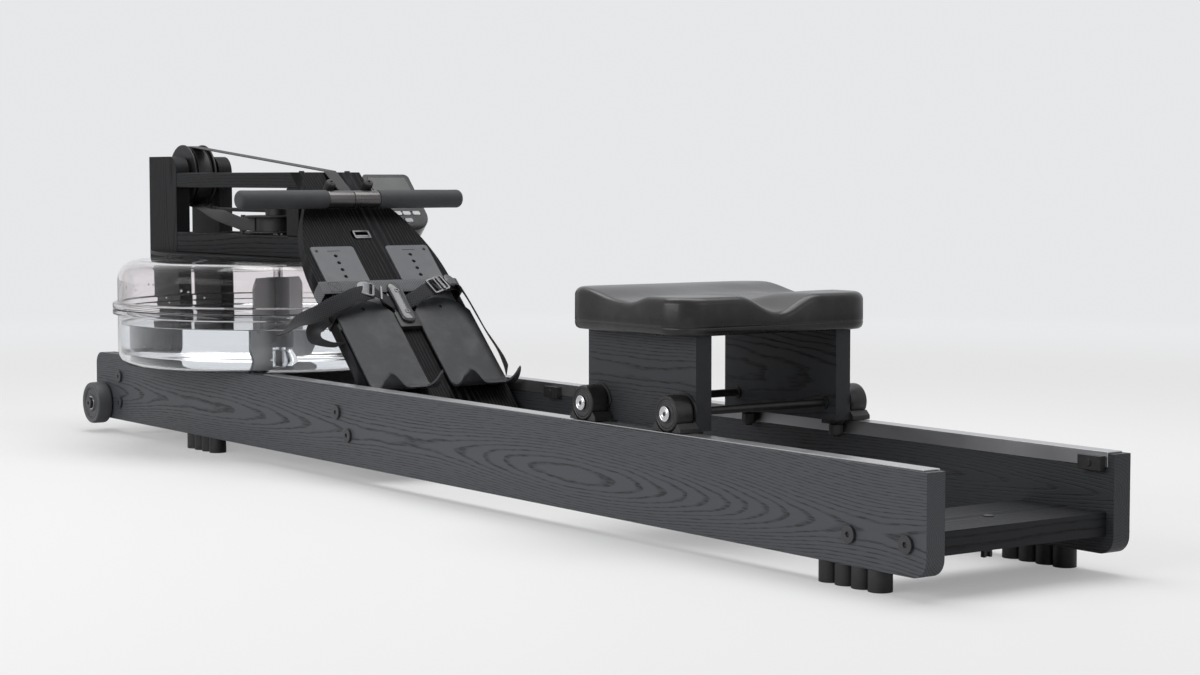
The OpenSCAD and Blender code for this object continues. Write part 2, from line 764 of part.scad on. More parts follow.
// The twisted run from the pulley back to the drum, with the turn round the pulley
module strap_return() {
    color(web_black) {
        polyhedron(points = [for (k = [0:return_steps]) each return_ring(k)],
            faces = concat([[0, 1, 2, 3]],
                [for (k = [0:return_steps - 1], j = [0:3]) let (a = 4 * k, b = (j + 1) % 4)
                    each [[a + j, a + 4 + j, a + b], [a + b, a + 4 + j, a + 4 + b]]],
                [[for (j = [3:-1:0]) 4 * return_steps + j]]));
        translate([pulley_x, 0, pulley_z]) rotate([90, 0, 0]) rotate(strap_leave)
            rotate_extrude(angle = 270 - strap_leave)
                translate([pulley_r + touch_gap, -strap_w / 2]) square([strap_t, strap_w]);
    }
}

// The elastic return cord, from a knob on a post to the drum's upper spool
module recoil_cord() {
    color(rubber_black) {
        translate([cord_x0, cord_y, cord_z]) rotate([0, 90, 0]) cylinder(r = cord_r, h = tank_x - cord_x0);
        across(cord_x0, cord_z, cord_r + 2, cord_y - cord_r, post_y);
    }
}

module handle_bar() {
    color(steel) across(handle_c[0], handle_c[1], bar_r, -handle_len / 2 + 6, handle_len / 2 - 6);
}

module handle_grips() {
    grip_len = handle_len / 2 - sleeve_len - touch_gap;
    color(dark_plastic) for (s = sides) scale([1, s, 1])
        translate([handle_c[0], sleeve_len + touch_gap, handle_c[1]]) rotate([-90, 0, 0]) rotate_extrude()
            polygon(concat([[bar_r + run_gap, 0], [grip_r - 1, 0], [grip_r, 1]],
                arc(grip_r - 8, grip_len - 8, 8, 0, 90, 6), [[0, grip_len], [0, grip_len - 5.5],
                    [bar_r + run_gap, grip_len - 5.5]]));
}

module handle_sleeves() {
    color(steel) for (s = sides) scale([1, s, 1]) translate([handle_c[0], 0.4, handle_c[1]])
        rotate([-90, 0, 0]) rotate_extrude() polygon([
            [bar_r + run_gap, 0], [sleeve_r - 0.6, 0], [sleeve_r, 0.6], [sleeve_r, sleeve_len - 1],
            [sleeve_r - 0.6, sleeve_len - 0.4], [bar_r + run_gap, sleeve_len - 0.4]]);
}

// Half the board's width at a distance up the board: straight, round shoulder, round neck
shoulder_sum = (pow(neck_up - shoulder_up, 2) + pow(board_half - neck_half, 2)) / (2 * (board_half - neck_half));
shoulder_r = shoulder_sum * 0.685;
neck_r = shoulder_sum - shoulder_r;
join_up = shoulder_up + (neck_up - shoulder_up) * shoulder_r / shoulder_sum;
function board_side(u) = u <= shoulder_up ? board_half
    : u <= join_up ? board_half - shoulder_r + sqrt(pow(shoulder_r, 2) - pow(u - shoulder_up, 2))
    : u <= neck_up ? neck_half + neck_r - sqrt(pow(neck_r, 2) - pow(neck_up - u, 2)) : neck_half;
side_steps = 22;
board_reach = neck_up + 40;
board_ups = concat([-board_down], [for (k = [0:side_steps]) shoulder_up + (neck_up - shoulder_up) * k / side_steps],
    [board_reach]);

module footboard() {
    color(stain) intersection() {
        on_board(0, -board_t) difference() {
            linear_extrude(board_t) polygon(concat([for (u = board_ups) [-u, board_side(u)]],
                [for (k = [len(board_ups) - 1:-1:0]) [-board_ups[k], -board_side(board_ups[k])]]));
            translate([-308, -3, -cut]) linear_extrude(board_t + 2 * cut) rounded_rect(18, 30, 5);
            for (s = sides) translate([-peg_up, s * peg_gap / 2, board_t - 10])
                cylinder(r = peg_d / 2 - 3, h = 20);
        }
        translate([board_x - 500, -200, 0]) cube([600, 400, beam_top]);
    }
}

module handle_pegs() {
    color(rubber_black) for (s = sides)
        on_board(peg_up) translate([0, s * peg_gap / 2, 0]) difference() {
            union() {
                rotate_extrude() polygon([[0, 0], [peg_d / 2, 0], [peg_d / 2, peg_len - 3],
                    [peg_d / 2 - 1, peg_len - 1], [peg_d / 2 - 3, peg_len], [0, peg_len]]);
                translate([0, 0, -10 + touch_gap]) cylinder(r = peg_d / 2 - 3.1, h = 10);
            }
            translate([0, 0, peg_len - 6]) cylinder(r = 2.9, h = 7, $fn = 6);
        }
}

module footplates() {
    color(grey_plastic) for (s = sides) on_board() difference() {
        translate([-(plate_low + plate_high) / 2, s * plate_y, 0]) linear_extrude(plate_t)
            rounded_rect(plate_high - plate_low, 2 * plate_half, 5);
        for (k = [0:hole_count - 1]) translate([-hole_first + k * hole_pitch, s * plate_y, -cut])
            cylinder(r = hole_r, h = plate_t + 2 * cut);
        translate([-hole_first - 10, s * plate_y, plate_t - 0.6]) linear_extrude(1) rounded_rect(2, 22, 0.9);
    }
}

// A heel plate's side view: down the board, then curled out into a lip
heel_side_path = concat([[-heel_side_up - heel_arch, plate_t / 2], [-10, plate_t / 2]],
    [for (a = [0:10:curl_turn]) [curl_r * sin(a), plate_t / 2 + curl_r * (1 - cos(a))]]);
// The lip's height at a share k of the plate's width, from its left edge
function lip_height(k) = k < 0.1 ? lip_high - (lip_high - lip_low) * 0.4 * ramp((0.1 - k) / 0.1)
    : k < 0.52 ? lip_high - (lip_high - lip_low) * ramp((k - 0.1) / 0.42)
    : k < 0.8 ? lip_low : lip_low + (lip_high - lip_low) * ramp((k - 0.8) / 0.2);
lip_steps = 20;

module heel(s) {
    color(grey_plastic) on_board(0, heel_out) translate([0, s * heel_y, 0]) difference() {
        translate([0, heel_half, 0]) rotate([90, 0, 0]) linear_extrude(2 * heel_half)
            polygon(band(heel_side_path, plate_t));
        translate([0, 0, -cut]) linear_extrude(plate_t + 2 * cut) difference() {
            translate([-heel_side_up - 2 * heel_arch, -heel_half - cut])
                square([2 * heel_arch, 2 * heel_half + 2 * cut]);
            translate([-heel_side_up - heel_arch + heel_arch_r, 0]) circle(heel_arch_r);
        }
        translate([curl_r / 4, 0, 0]) rotate([90, 0, 90]) linear_extrude(2 * curl_r) polygon(concat(
            [for (k = [0:lip_steps]) [(2 * k / lip_steps - 1) * (heel_half + cut), lip_height(k / lip_steps)]],
            [[heel_half + cut, 3 * curl_r], [-heel_half - cut, 3 * curl_r]]));
        translate([-heel_side_up - 10, 0, -cut]) cylinder(r = hole_r, h = plate_t + 2 * cut);
    }
}

module heel_left() { heel(-1); }
module heel_right() { heel(1); }

// Half of the foot strap's path across the board, from the middle to the back of the side
half_strap = [[0, strap_mid_out], [clip_base_half + 2, strap_mid_out + 0.3], [42, instep_h - 1.5],
    [48, instep_h], [84, instep_h], [91, instep_h - 1.5], [strap_side - 5, instep_h / 2],
    [strap_side, instep_h / 2 - 5], [strap_side, strap_low], [92, strap_low]];
strap_path = concat([for (k = [len(half_strap) - 1:-1:1]) [-half_strap[k][0], half_strap[k][1]]], half_strap);
function strap_ring(k) = let (c = strap_path[k], b = bend(strap_path, k) * strap_t / 2, x = -strap_slant * abs(c[0]),
    w = foot_strap_w / 2) [[x - w, c[0] - b[0], c[1] - b[1]], [x + w, c[0] - b[0], c[1] - b[1]],
    [x + w, c[0] + b[0], c[1] + b[1]], [x - w, c[0] + b[0], c[1] + b[1]]];

// The arched band, which slants up the board towards both sides, and the flat band above it
module foot_straps() {
    last = len(strap_path) - 1;
    color(web_black) {
        on_board(strap_up) polyhedron(points = [for (k = [0:last]) each strap_ring(k)],
            faces = concat([[3, 2, 1, 0]],
                [for (k = [0:last - 1], j = [0:3]) let (a = 4 * k, b = (j + 1) % 4)
                    each [[a + j, a + b, a + 4 + j], [a + b, a + 4 + b, a + 4 + j]]],
                [[for (j = [0:3]) 4 * last + j]]));
        on_board(flat_strap_up, strap_mid_out - strap_t / 2) translate([-foot_strap_w / 2, 1 - strap_side, 0])
            cube([foot_strap_w, 2 * strap_side - 2, strap_t]);
    }
}

module foot_buckles() {
    color(steel) for (s = sides) on_board(strap_up + strap_slant * buckle_y, instep_h + strap_t / 2 + touch_gap)
        translate([0, s * buckle_y, 0]) rotate(-s * atan(strap_slant)) linear_extrude(buckle_t) difference() {
            rounded_rect(buckle_w, buckle_l, 6);
            for (k = [-1, 1]) translate([0, k * 9]) square([foot_strap_w + 1, 7], center = true);
        }
}

module strap_clip() {
    color(dark_plastic) on_board(strap_up) {
        translate([4, 0, 0]) linear_extrude(clip_base_h) rounded_rect(clip_len - 8, 2 * clip_base_half, 4);
        for (k = [-1, 1]) translate([k * (foot_strap_w / 2 + 9), 0, clip_base_h - cut])
            cylinder(r = 4, h = clip_gap + 2 * cut);
        translate([0, 0, clip_base_h + clip_gap]) difference() {
            linear_extrude(clip_t) rounded_rect(clip_len, 2 * clip_half, clip_half - 1);
            for (k = [-1, 1]) translate([k * (foot_strap_w / 2 + 9), 0, clip_t - 2]) cylinder(r = 4.5, h = 3);
        }
    }
}

module monitor_outline(inset) {
    w = monitor_w / 2 - inset;
    h = monitor_h / 2 - inset;
    hull() {
        for (a = [-1, 1]) translate([-h + 8, a * (w - 8)]) circle(8, $fn = 32);
        translate([h - w * 0.95, 0]) circle(w * 0.95, $fn = 48);
    }
}

module key_hole(u, y, grow) {
    translate([-u, y]) scale([key_rs / key_rx, 1]) circle(key_rx + grow);
}

module key_at(u, y) {
    color("white") on_board(0, monitor_out - key_t + 1) intersection() {
        translate([-u, y, 0]) cylinder(r = key_rx, h = key_t);
        translate([-u - key_rs, y - key_rx, -cut]) cube([2 * key_rs, 2 * key_rx, key_t + 2 * cut]);
    }
}

module key_pocket(u, y) {
    translate([-u - key_rs - slide_gap, y - key_rx - slide_gap, monitor_out - key_t - key_travel - 0.2])
        cube([2 * (key_rs + slide_gap), 2 * (key_rx + slide_gap), 20]);
}

module monitor_case() {
    color(rubber_black) difference() {
        union() {
            on_board(monitor_up, monitor_out - monitor_t) translate([0, monitor_y, 0])
                linear_extrude(monitor_t) monitor_outline(0);
            on_board(bracket_up, monitor_out - monitor_t + 4) translate([-7, beam_out, 0])
                cube([14, monitor_y - monitor_w / 2 - beam_out + 8, 13]);
        }
        on_board(screen_up, monitor_out - screen_t) translate([0, monitor_y, 0])
            linear_extrude(screen_t + cut) rounded_rect(screen_h, monitor_w - 16, 3);
        on_board() {
            for (y = key_ys) key_pocket(key_row, y);
            key_pocket(key_low_row, key_ys[1] - 2);
        }
    }
}

module monitor_screen() {
    color([0.5, 0.55, 0.5]) on_board(screen_up, monitor_out - screen_t)
        translate([0, monitor_y, 0]) linear_extrude(screen_t) rounded_rect(screen_h - 0.6, monitor_w - 16.6, 2.7);
}

module key_left() { key_at(key_row, key_ys[0]); }
module key_middle() { key_at(key_row, key_ys[1]); }
module key_right() { key_at(key_row, key_ys[2]); }
module key_lower() { key_at(key_low_row, key_ys[1] - 2); }

// The seat pad: a rounded block whose top is hollowed at the sides, at the rear and in the middle
pad_segs = 48;
pad_r = 30;
function pad_edge(k, in) = let (a = 360 * k / pad_segs, l = pad_len / 2 - pad_r, w = pad_w / 2 - pad_r,
    c = cos(a), s = sin(a)) [sign(c) * l * min(1, abs(c) * 1.6) + (pad_r - in) * c,
    sign(s) * w * min(1, abs(s) * 1.6) + (pad_r - in) * s];
function bump(t) = abs(t) >= 1 ? 0 : pow(cos(90 * t), 2);
function ramp(t) = let (q = max(0, min(1, t))) q * q * (3 - 2 * q);
function pad_top(p) = let (x = p[0] / pad_len, y = abs(p[1]) / pad_w) pad_t
    - pad_hollow * bump((x - 0.01) / (x < 0.01 ? 0.38 : 0.17)) * (0.45 + 0.55 * ramp(y / 0.48))
    - 0.45 * pad_hollow * ramp((x + 0.05) / 0.2)
    - 1.55 * pad_hollow * bump(y / 0.2) * ramp((x + 0.02) / 0.5)
    - 0.3 * pad_hollow * bump(norm([x / 0.5, y / 0.45]));
pad_rings = [[6, 0], [1.5, 2.5], [0, 7], [1, 0.5], [3, 0.85], [6, 0.97]];
function pad_ring(j) = j < 3 ? [for (k = [0:pad_segs - 1]) let (p = pad_edge(k, pad_rings[j][0])) [p[0], p[1], pad_rings[j][1]]]
    : [for (k = [0:pad_segs - 1]) let (p = pad_edge(k, pad_rings[j][0])) [p[0], p[1], pad_rings[j][1] * pad_top(p)]];
top_rings = 9;
function pad_inner(j) = let (f = 1 - j / top_rings) [for (k = [0:pad_segs - 1])
    let (p = pad_edge(k, 9) * f) [p[0], p[1], pad_top(p)]];
pad_levels = concat([for (j = [0:5]) pad_ring(j)], [for (j = [0:top_rings - 1]) pad_inner(j)]);
pad_last = len(pad_levels) - 1;

module seat_pad() {
    centre = len(pad_levels) * pad_segs;
    color(dark_plastic) translate([seat_x, 0, pad_z]) polyhedron(
        points = concat([for (level = pad_levels) each level], [[0, 0, pad_top([0, 0])], [0, 0, 0]]),
        faces = concat(
            [for (j = [0:pad_last - 1], k = [0:pad_segs - 1]) let (n = (k + 1) % pad_segs, a = j * pad_segs, b = a + pad_segs)
                each [[a + k, b + k, a + n], [a + n, b + k, b + n]]],
            [for (k = [0:pad_segs - 1]) [pad_last * pad_segs + k, centre, pad_last * pad_segs + (k + 1) % pad_segs]],
            [for (k = [0:pad_segs - 1]) [k, (k + 1) % pad_segs, centre + 1]]));
}

module seat_panels() {
    color(stain) for (s = sides) scale([1, s, 1]) difference() {
        translate([seat_x - panel_len / 2, panel_in, panel_z]) cube([panel_len, panel_t, panel_h]);
        for (x = axle_xs) across(x, wheel_axle_z, axle_r + 0.2, panel_in - cut, panel_out + cut);
    }
}

module seat_axles() {
    wheel_end = seat_wheel_in + seat_wheel_w + 0.2;
    color(steel) for (x = axle_xs) {
        across(x, wheel_axle_z, axle_r, -wheel_end - 1, wheel_end + 1);
        for (s = sides) scale([1, s, 1]) {
            across(x, wheel_axle_z, axle_end_r, wheel_end, wheel_end + 2);
            across(x, wheel_axle_z, axle_end_r, panel_in - 2.1, panel_in - 0.1);
            across(x, wheel_axle_z, axle_end_r - 1, panel_out + 0.1, seat_wheel_in - 0.1);
        }
    }
}

module seat_wheel_pair(x) {
    color(grey_plastic) for (s = sides) scale([1, s, 1]) translate([x, seat_wheel_in, wheel_axle_z])
        rotate([-90, 0, 0]) rotate_extrude() polygon([
            [axle_r + run_gap, 0], [seat_wheel_r - 1, 0], [seat_wheel_r, 1], [seat_wheel_r, seat_wheel_w - 1],
            [seat_wheel_r - 1, seat_wheel_w], [axle_r + run_gap, seat_wheel_w]]);
}

module seat_wheels_front() { seat_wheel_pair(axle_xs[0]); }
module seat_wheels_rear() { seat_wheel_pair(axle_xs[1]); }

// A guard beside and under each seat wheel, hollowed round the wheel
module wheel_shoes() {
    color(rubber_black) for (s = sides, x = axle_xs) scale([1, s, 1]) difference() {
        union() {
            across(x, wheel_axle_z, seat_wheel_r + 2, panel_out, seat_wheel_in - 0.8);
            translate([x - shoe_half, panel_out, roll_z + shoe_gap])
                cube([2 * shoe_half, seat_wheel_in + seat_wheel_w - 1 - panel_out, shoe_h]);
        }
        across(x, wheel_axle_z, seat_wheel_r + 1, seat_wheel_in - 0.8, seat_wheel_in + seat_wheel_w + cut);
        across(x, wheel_axle_z, axle_end_r + 0.5, panel_out - cut, seat_wheel_in + cut);
        translate([x - shoe_half - cut, panel_out - cut, roll_z - 2 * seat_wheel_r])
            cube([2 * shoe_half + 2 * cut, seat_wheel_w + 10, 2 * seat_wheel_r + shoe_gap]);
        for (k = [-1, 1]) translate([x + k * shoe_half, panel_out - cut, roll_z + shoe_gap + shoe_h])
            rotate([0, 45, 0]) translate([-7, 0, -7]) cube([14, seat_wheel_w + 10, 14]);
    }
}

module roller_brackets() {
    color(steel) for (s = sides, x = axle_xs) scale([1, s, 1]) {
        translate([x - 8, panel_in + 2, roller_plate_z]) cube([16, roller_y + 6 - panel_in - 2, panel_z - roller_plate_z]);
        translate([x, roller_y, roller_z0 - 2.5]) cylinder(r = roller_pin_r, h = roller_plate_z - roller_z0 + 3);
        translate([x, roller_y, roller_z0 - 2.5]) cylinder(r = roller_pin_r + 2, h = 2.2);
    }
}

module guide_roller_at(x, s) {
    color(rubber_black) translate([x, s * roller_y, roller_z0]) rotate_extrude() polygon([
        [roller_pin_r + run_gap, 0], [roller_r - 0.8, 0], [roller_r, 0.8], [roller_r, roller_h - 0.8],
        [roller_r - 0.8, roller_h], [roller_pin_r + run_gap, roller_h]]);
}

module roller_front_left() { guide_roller_at(axle_xs[0], -1); }
module roller_front_right() { guide_roller_at(axle_xs[0], 1); }
module roller_rear_left() { guide_roller_at(axle_xs[1], -1); }
module roller_rear_right() { guide_roller_at(axle_xs[1], 1); }

rail_left();
rail_right();
seat_tracks();
rear_spreader();
front_spreader();
foot_spreader();
frame_bolts();
rail_stops();
rubber_feet();
transport_wheel_left();
transport_wheel_right();
front_posts();
post_bumpers();
upper_beams();
lower_beams();
rear_braces();
top_deck();
tank_lower();
tank_upper();
tank_seal();
tank_water();
paddle();
paddle_shaft();
shaft_bearing();
strap_drum();
guide_roller();
top_pulley();
pulley_axle();
pulley_cheeks();
strap_run();
strap_return();
recoil_cord();
handle_bar();
handle_grips();
handle_sleeves();
footboard();
handle_pegs();
footplates();
heel_left();
heel_right();
foot_straps();
foot_buckles();
strap_clip();
monitor_case();
monitor_screen();
key_left();
key_middle();
key_right();
key_lower();
seat_pad();
seat_panels();
seat_axles();
seat_wheels_front();
seat_wheels_rear();
wheel_shoes();
roller_brackets();
roller_front_left();
roller_front_right();
roller_rear_left();
roller_rear_right();
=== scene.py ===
# %% [markdown]
# A water rowing machine of black-stained ash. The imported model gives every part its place.
# This lesson dresses it: edges get a small round, surfaces get a finish, and the pieces whose
# form a plain solid can't show are built again in the same space.

# %% Load the frame
import json
from functools import partial
from math import acos, asin, atan2, cos, hypot, pi, radians, sin, tan, tau
import bmesh
import bpy
from mathutils import Matrix, Vector


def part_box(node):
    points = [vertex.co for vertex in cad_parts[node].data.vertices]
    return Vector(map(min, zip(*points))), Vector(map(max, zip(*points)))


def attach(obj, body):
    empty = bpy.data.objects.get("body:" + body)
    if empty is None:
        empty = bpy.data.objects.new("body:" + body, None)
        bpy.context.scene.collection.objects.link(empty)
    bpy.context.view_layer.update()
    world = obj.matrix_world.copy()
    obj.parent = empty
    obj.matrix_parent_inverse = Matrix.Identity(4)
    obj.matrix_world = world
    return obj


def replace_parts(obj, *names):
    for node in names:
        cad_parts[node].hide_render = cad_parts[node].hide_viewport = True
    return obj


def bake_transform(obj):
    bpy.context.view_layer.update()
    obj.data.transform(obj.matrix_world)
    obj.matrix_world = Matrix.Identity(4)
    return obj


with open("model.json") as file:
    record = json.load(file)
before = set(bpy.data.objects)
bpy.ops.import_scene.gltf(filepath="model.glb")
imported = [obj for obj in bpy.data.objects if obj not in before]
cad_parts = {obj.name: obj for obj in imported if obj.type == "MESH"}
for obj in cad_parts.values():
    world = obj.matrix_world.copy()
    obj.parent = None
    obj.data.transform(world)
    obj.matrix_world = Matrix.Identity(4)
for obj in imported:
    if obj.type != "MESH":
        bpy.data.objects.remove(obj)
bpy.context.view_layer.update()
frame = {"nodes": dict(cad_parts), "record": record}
record = frame["record"]
body_of = {n: b for b, names in record["behaviour"]["bodies"].items() for n in names}

# %% Shared names
MM = 0.001
QUARTER = pi / 2
Y_WAY, Z_WAY = Vector((0, 1, 0)), Vector((0, 0, 1))


def link_object(name, data):
    made = bpy.data.objects.new(name, data)
    bpy.context.scene.collection.objects.link(made)
    return made


def aimed(way):
    return way.to_track_quat("-Z", "Y").to_euler()


def box_mm(node):
    """A node's lowest corner, highest corner and middle, in mm."""
    low, high = (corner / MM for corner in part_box(node))
    return low, high, (low + high) / 2


# %% [markdown]
# The photograph was taken from the rear left, low down and with a long lens. The camera's
# place and direction were solved from straight edges, so they are set as numbers here.

# %% Camera
PHOTO_WIDTH, FOCAL_LENGTH = 1200, 2362.4  # in the photograph's pixels
SENSOR_WIDTH = 36
camera = link_object("Camera", bpy.data.cameras.new("Camera"))
camera.location = Vector((2819.6, -1827.5, 438.8)) * MM
camera.rotation_euler = aimed(Vector((-0.81259, 0.57897, -0.06732)))
camera.data.sensor_width = SENSOR_WIDTH
camera.data.lens = SENSOR_WIDTH * FOCAL_LENGTH / PHOTO_WIDTH
camera.data.clip_start, camera.data.clip_end = 0.05, 200
bpy.context.scene.camera = camera
print("lens", round(camera.data.lens, 1), "mm")

# %% [markdown]
# Node trees are written as small sums. An input that is given as a socket is linked and one
# that is given as a value is set, and each helper works in the tree that its socket is from.

# %% Node helpers
def is_socket(value):
    return isinstance(value, bpy.types.NodeSocket)


def set_inputs(node, inputs):
    for key, value in inputs.items():
        if is_socket(value):
            node.id_data.links.new(value, node.inputs[key])
        else:
            node.inputs[key].default_value = value


def tree_node(tree, kind, inputs=None, **settings):
    made = tree.nodes.new(kind)
    for key, value in settings.items():
        setattr(made, key, value)
    set_inputs(made, inputs or {})
    return made


def maths(operation, *values, clamp=False):
    tree = next(v.id_data for v in values if is_socket(v))
    return tree_node(tree, "ShaderNodeMath", dict(enumerate(values)), operation=operation,
                     use_clamp=clamp).outputs[0]


plus, minus, times, scaled_plus = (
    partial(maths, operation) for operation in ("ADD", "SUBTRACT", "MULTIPLY", "MULTIPLY_ADD"))


def mixed(share, a, b):
    """Colour a where share is 0, and colour b where it is 1."""
    return tree_node(share.id_data, "ShaderNodeMix", {0: share, 6: a, 7: b},
                     data_type="RGBA").outputs[2]


def blended(share, a, b):
    """Shader a where share is 0, and shader b where it is 1."""
    return tree_node(a.id_data, "ShaderNodeMixShader", {0: share, 1: a, 2: b}).outputs[0]


def vector_maths(operation, vector, other=None):
    inputs = {0: vector} if other is None else {0: vector, 1: other}
    return tree_node(vector.id_data, "ShaderNodeVectorMath", inputs, operation=operation).outputs


def noise_of(vector, scale, detail=2.0, roughness=0.5):
    return tree_node(vector.id_data, "ShaderNodeTexNoise", {
        "Vector": vector, "Scale": scale, "Detail": detail, "Roughness": roughness}).outputs["Fac"]


def faded(value, low, high, lowest=0.0):
    """Rises softly from lowest to 1 while value goes from low to high."""
    return tree_node(value.id_data, "ShaderNodeMapRange", {
        "Value": value, "From Min": low, "From Max": high, "To Min": lowest},
        interpolation_type="SMOOTHSTEP").outputs["Result"]


def ray_is(tree, *kinds):
    """1 on rays of the kinds that are named, and 0 on all others."""
    path = tree_node(tree, "ShaderNodeLightPath")
    first, *others = (path.outputs[f"Is {kind} Ray"] for kind in kinds)
    for other in others:
        first = maths("MAXIMUM", first, other)
    return first


def new_finish(name):
    made = bpy.data.materials.new(name)
    made.use_nodes = True
    return made, made.node_tree, made.node_tree.nodes["Principled BSDF"]


# %% [markdown]
# A studio sweep is a pale floor that runs into a pale wall. A large floor and a world of the
# same tone give that: with distance the floor's own shading melts into the backdrop's colour,
# so no horizon shows. Near the machine the floor also glows a little brighter for the camera,
# a painted pool of light. Three soft lamps shape the dark wood without flooding it.

# %% Studio
BACKDROP = (0.795, 0.803, 0.82, 1)
FLOOR, NEAR_FLOOR_PAINTED_LIGHT, FLOOR_REACH = (0.8, 0.8, 0.803, 1), (0.99, 0.99, 0.993, 1), 60
world = bpy.data.worlds.new("studio")
bpy.context.scene.world = world
world.use_nodes = True
sky = world.node_tree
sky.nodes.clear()
fill_light, shown = (
    tree_node(sky, "ShaderNodeBackground", {"Color": colour, "Strength": strength}).outputs[0]
    for colour, strength in (((1, 1, 1, 1), 0.22), (BACKDROP, 1.0)))
tree_node(sky, "ShaderNodeOutputWorld", {
    "Surface": blended(ray_is(sky, "Camera", "Transmission", "Glossy"), fill_light, shown)})

floor_mesh = bpy.data.meshes.new("studio_floor")
floor_mesh.from_pydata([(x * FLOOR_REACH, y * FLOOR_REACH, 0) for x, y in (
    (-1, -1), (1, -1), (1, 1), (-1, 1))], [], [(0, 1, 2, 3)])
studio_floor = link_object("studio_floor", floor_mesh)
floor_finish, floor_tree, lit = new_finish("studio_floor")
set_inputs(lit, {"Base Color": FLOOR, "Roughness": 0.6, "Specular IOR Level": 0.2})
spot = tree_node(floor_tree, "ShaderNodeTexCoord").outputs["Object"]
away = vector_maths("LENGTH", spot)["Value"]
# Painted light: near the machine the floor glows brighter than the backdrop, a pool of light that
# fades out with distance.
melted_tone = mixed(faded(away, 1.5, 4.6), NEAR_FLOOR_PAINTED_LIGHT, BACKDROP)
melted = tree_node(floor_tree, "ShaderNodeEmission", {"Color": melted_tone, "Strength": 1.0})
melt = times(faded(away, 1.3, 4.2, lowest=0.3), ray_is(floor_tree, "Camera", "Transmission"))
set_inputs(floor_tree.nodes["Material Output"], {
    "Surface": blended(melt, lit.outputs[0], melted.outputs[0])})
floor_mesh.materials.append(floor_finish)

for name, place, aim, size, power in (
        ("overhead", (-0.3, 0.5, 3.2), (0, 0, 0.2), (3.6, 2.0), 92),
        ("left_wall", (0.2, -3.4, 1.5), (0, 0, 0.15), (3.6, 1.6), 66),
        ("rear_corner", (3.4, 1.0, 1.8), (0.3, 0, 0.2), (1.8, 1.8), 10)):
    lamp = link_object(name, bpy.data.lights.new(name, "AREA"))
    lamp.data.shape = "RECTANGLE"
    lamp.data.size, lamp.data.size_y = size
    lamp.data.energy = power
    lamp.location = place
    lamp.rotation_euler = aimed(Vector(aim) - Vector(place))
bpy.context.scene.view_settings.view_transform = "Standard"

# %% [markdown]
# Stained ash keeps its open grain. Growth rings are long cylinders round a line that wanders
# beside the board, so a flat sawn face cuts them into tall arches. The group works the rings
# out from that distance, adds the fine pores, and puts out a colour, a roughness and a height.

# %% Ash grain group
def new_tree(name, kind, inputs, outputs):
    """A node group, its inputs and its end, from the labels and kinds of its sockets."""
    tree = bpy.data.node_groups.new(name, kind)
    for in_out, sockets in (("INPUT", inputs), ("OUTPUT", outputs)):
        for label, socket in sockets.items():
            tree.interface.new_socket(name=label, in_out=in_out, socket_type="NodeSocket" + socket)
    return tree, tree.nodes.new("NodeGroupInput").outputs, tree.nodes.new("NodeGroupOutput")


SURFACE = {"Color": "Color", "Roughness": "Float", "Height": "Float"}
ash_grain, wood, end = new_tree("Ash grain", "ShaderNodeTree", {
    "Vector": "Vector", "Ring Width": "Float", "Wander": "Float", "Stain And Painted Light": "Color",
    "Line": "Color"}, SURFACE)


def grain_noise(stretch, detail=2.0):
    """Noise in the wood's own space, stretched along the board."""
    return noise_of(vector_maths("MULTIPLY", wood["Vector"], stretch)[0], 1.0, detail)


from_heart = vector_maths("LENGTH", vector_maths("MULTIPLY", wood["Vector"], (0, 1, 1))[0])["Value"]
wander = times(minus(grain_noise((1.5, 4.5, 4.5), 0.0), 0.5), wood["Wander"])
ripple = times(minus(grain_noise((14, 60, 60)), 0.5), 0.0022)
ring = maths("FRACT", maths("DIVIDE", plus(from_heart, plus(wander, ripple)), wood["Ring Width"]))
late_wood = times(faded(ring, 0.56, 0.82), minus(1.0, faded(ring, 0.9, 1.0)))
streaks = grain_noise((60, 1100, 1100))
pores = times(faded(streaks, 0.52, 0.66), scaled_plus(late_wood, 0.85, 0.15))
broken = scaled_plus(faded(streaks, 0.36, 0.56), 0.6, 0.4)
dark = plus(times(times(late_wood, broken), 0.75), times(pores, 0.55), clamp=True)
set_inputs(end, {"Color": mixed(dark, wood["Stain And Painted Light"], wood["Line"]),
                 "Roughness": scaled_plus(dark, 0.2, 0.44), "Height": minus(1.0, dark)})
print("ash grain group:", len(ash_grain.nodes), "nodes")

# %% [markdown]
# Moulded plastic, rubber and foam all show a fine pebbled skin, with slow patches where hands
# and dust have changed the shine. One group gives both, at a scale that each finish sets.
# Another crosses two waves of thread for webbing and for braided cord.

# %% Moulded skin and weave groups
DUST = (0.16, 0.16, 0.165, 1)
moulded, skin, end = new_tree("Moulded skin", "ShaderNodeTree", {
    "Vector": "Vector", "Grain Scale": "Float", "Tone": "Color", "Shine": "Float",
    "Mottle": "Float"}, SURFACE)
patches = noise_of(skin["Vector"], 14.0, 4.0, 0.6)
dusty = times(faded(patches, 0.4, 0.75), skin["Mottle"])
set_inputs(end, {"Color": mixed(dusty, skin["Tone"], DUST),
                 "Roughness": plus(skin["Shine"], times(minus(patches, 0.5), 0.25)),
                 "Height": noise_of(skin["Vector"], skin["Grain Scale"], 3.0)})

weave, cloth, end = new_tree("Webbing weave", "ShaderNodeTree", {
    "Vector": "Vector", "Thread": "Float", "Tone": "Color", "High": "Color"},
    {"Color": "Color", "Height": "Float"})
lie = tree_node(weave, "ShaderNodeSeparateXYZ", {0: cloth["Vector"]}).outputs
waves = [maths("SINE", times(maths("DIVIDE", lie[k], cloth["Thread"]), pi)) for k in (0, 1)]
lift = scaled_plus(times(*waves), 0.5, 0.5)
fuzz = noise_of(cloth["Vector"], 1400.0)
set_inputs(end, {"Color": mixed(times(lift, fuzz), cloth["Tone"], cloth["High"]), "Height": lift})
print("groups:", sorted(g.name for g in bpy.data.node_groups))

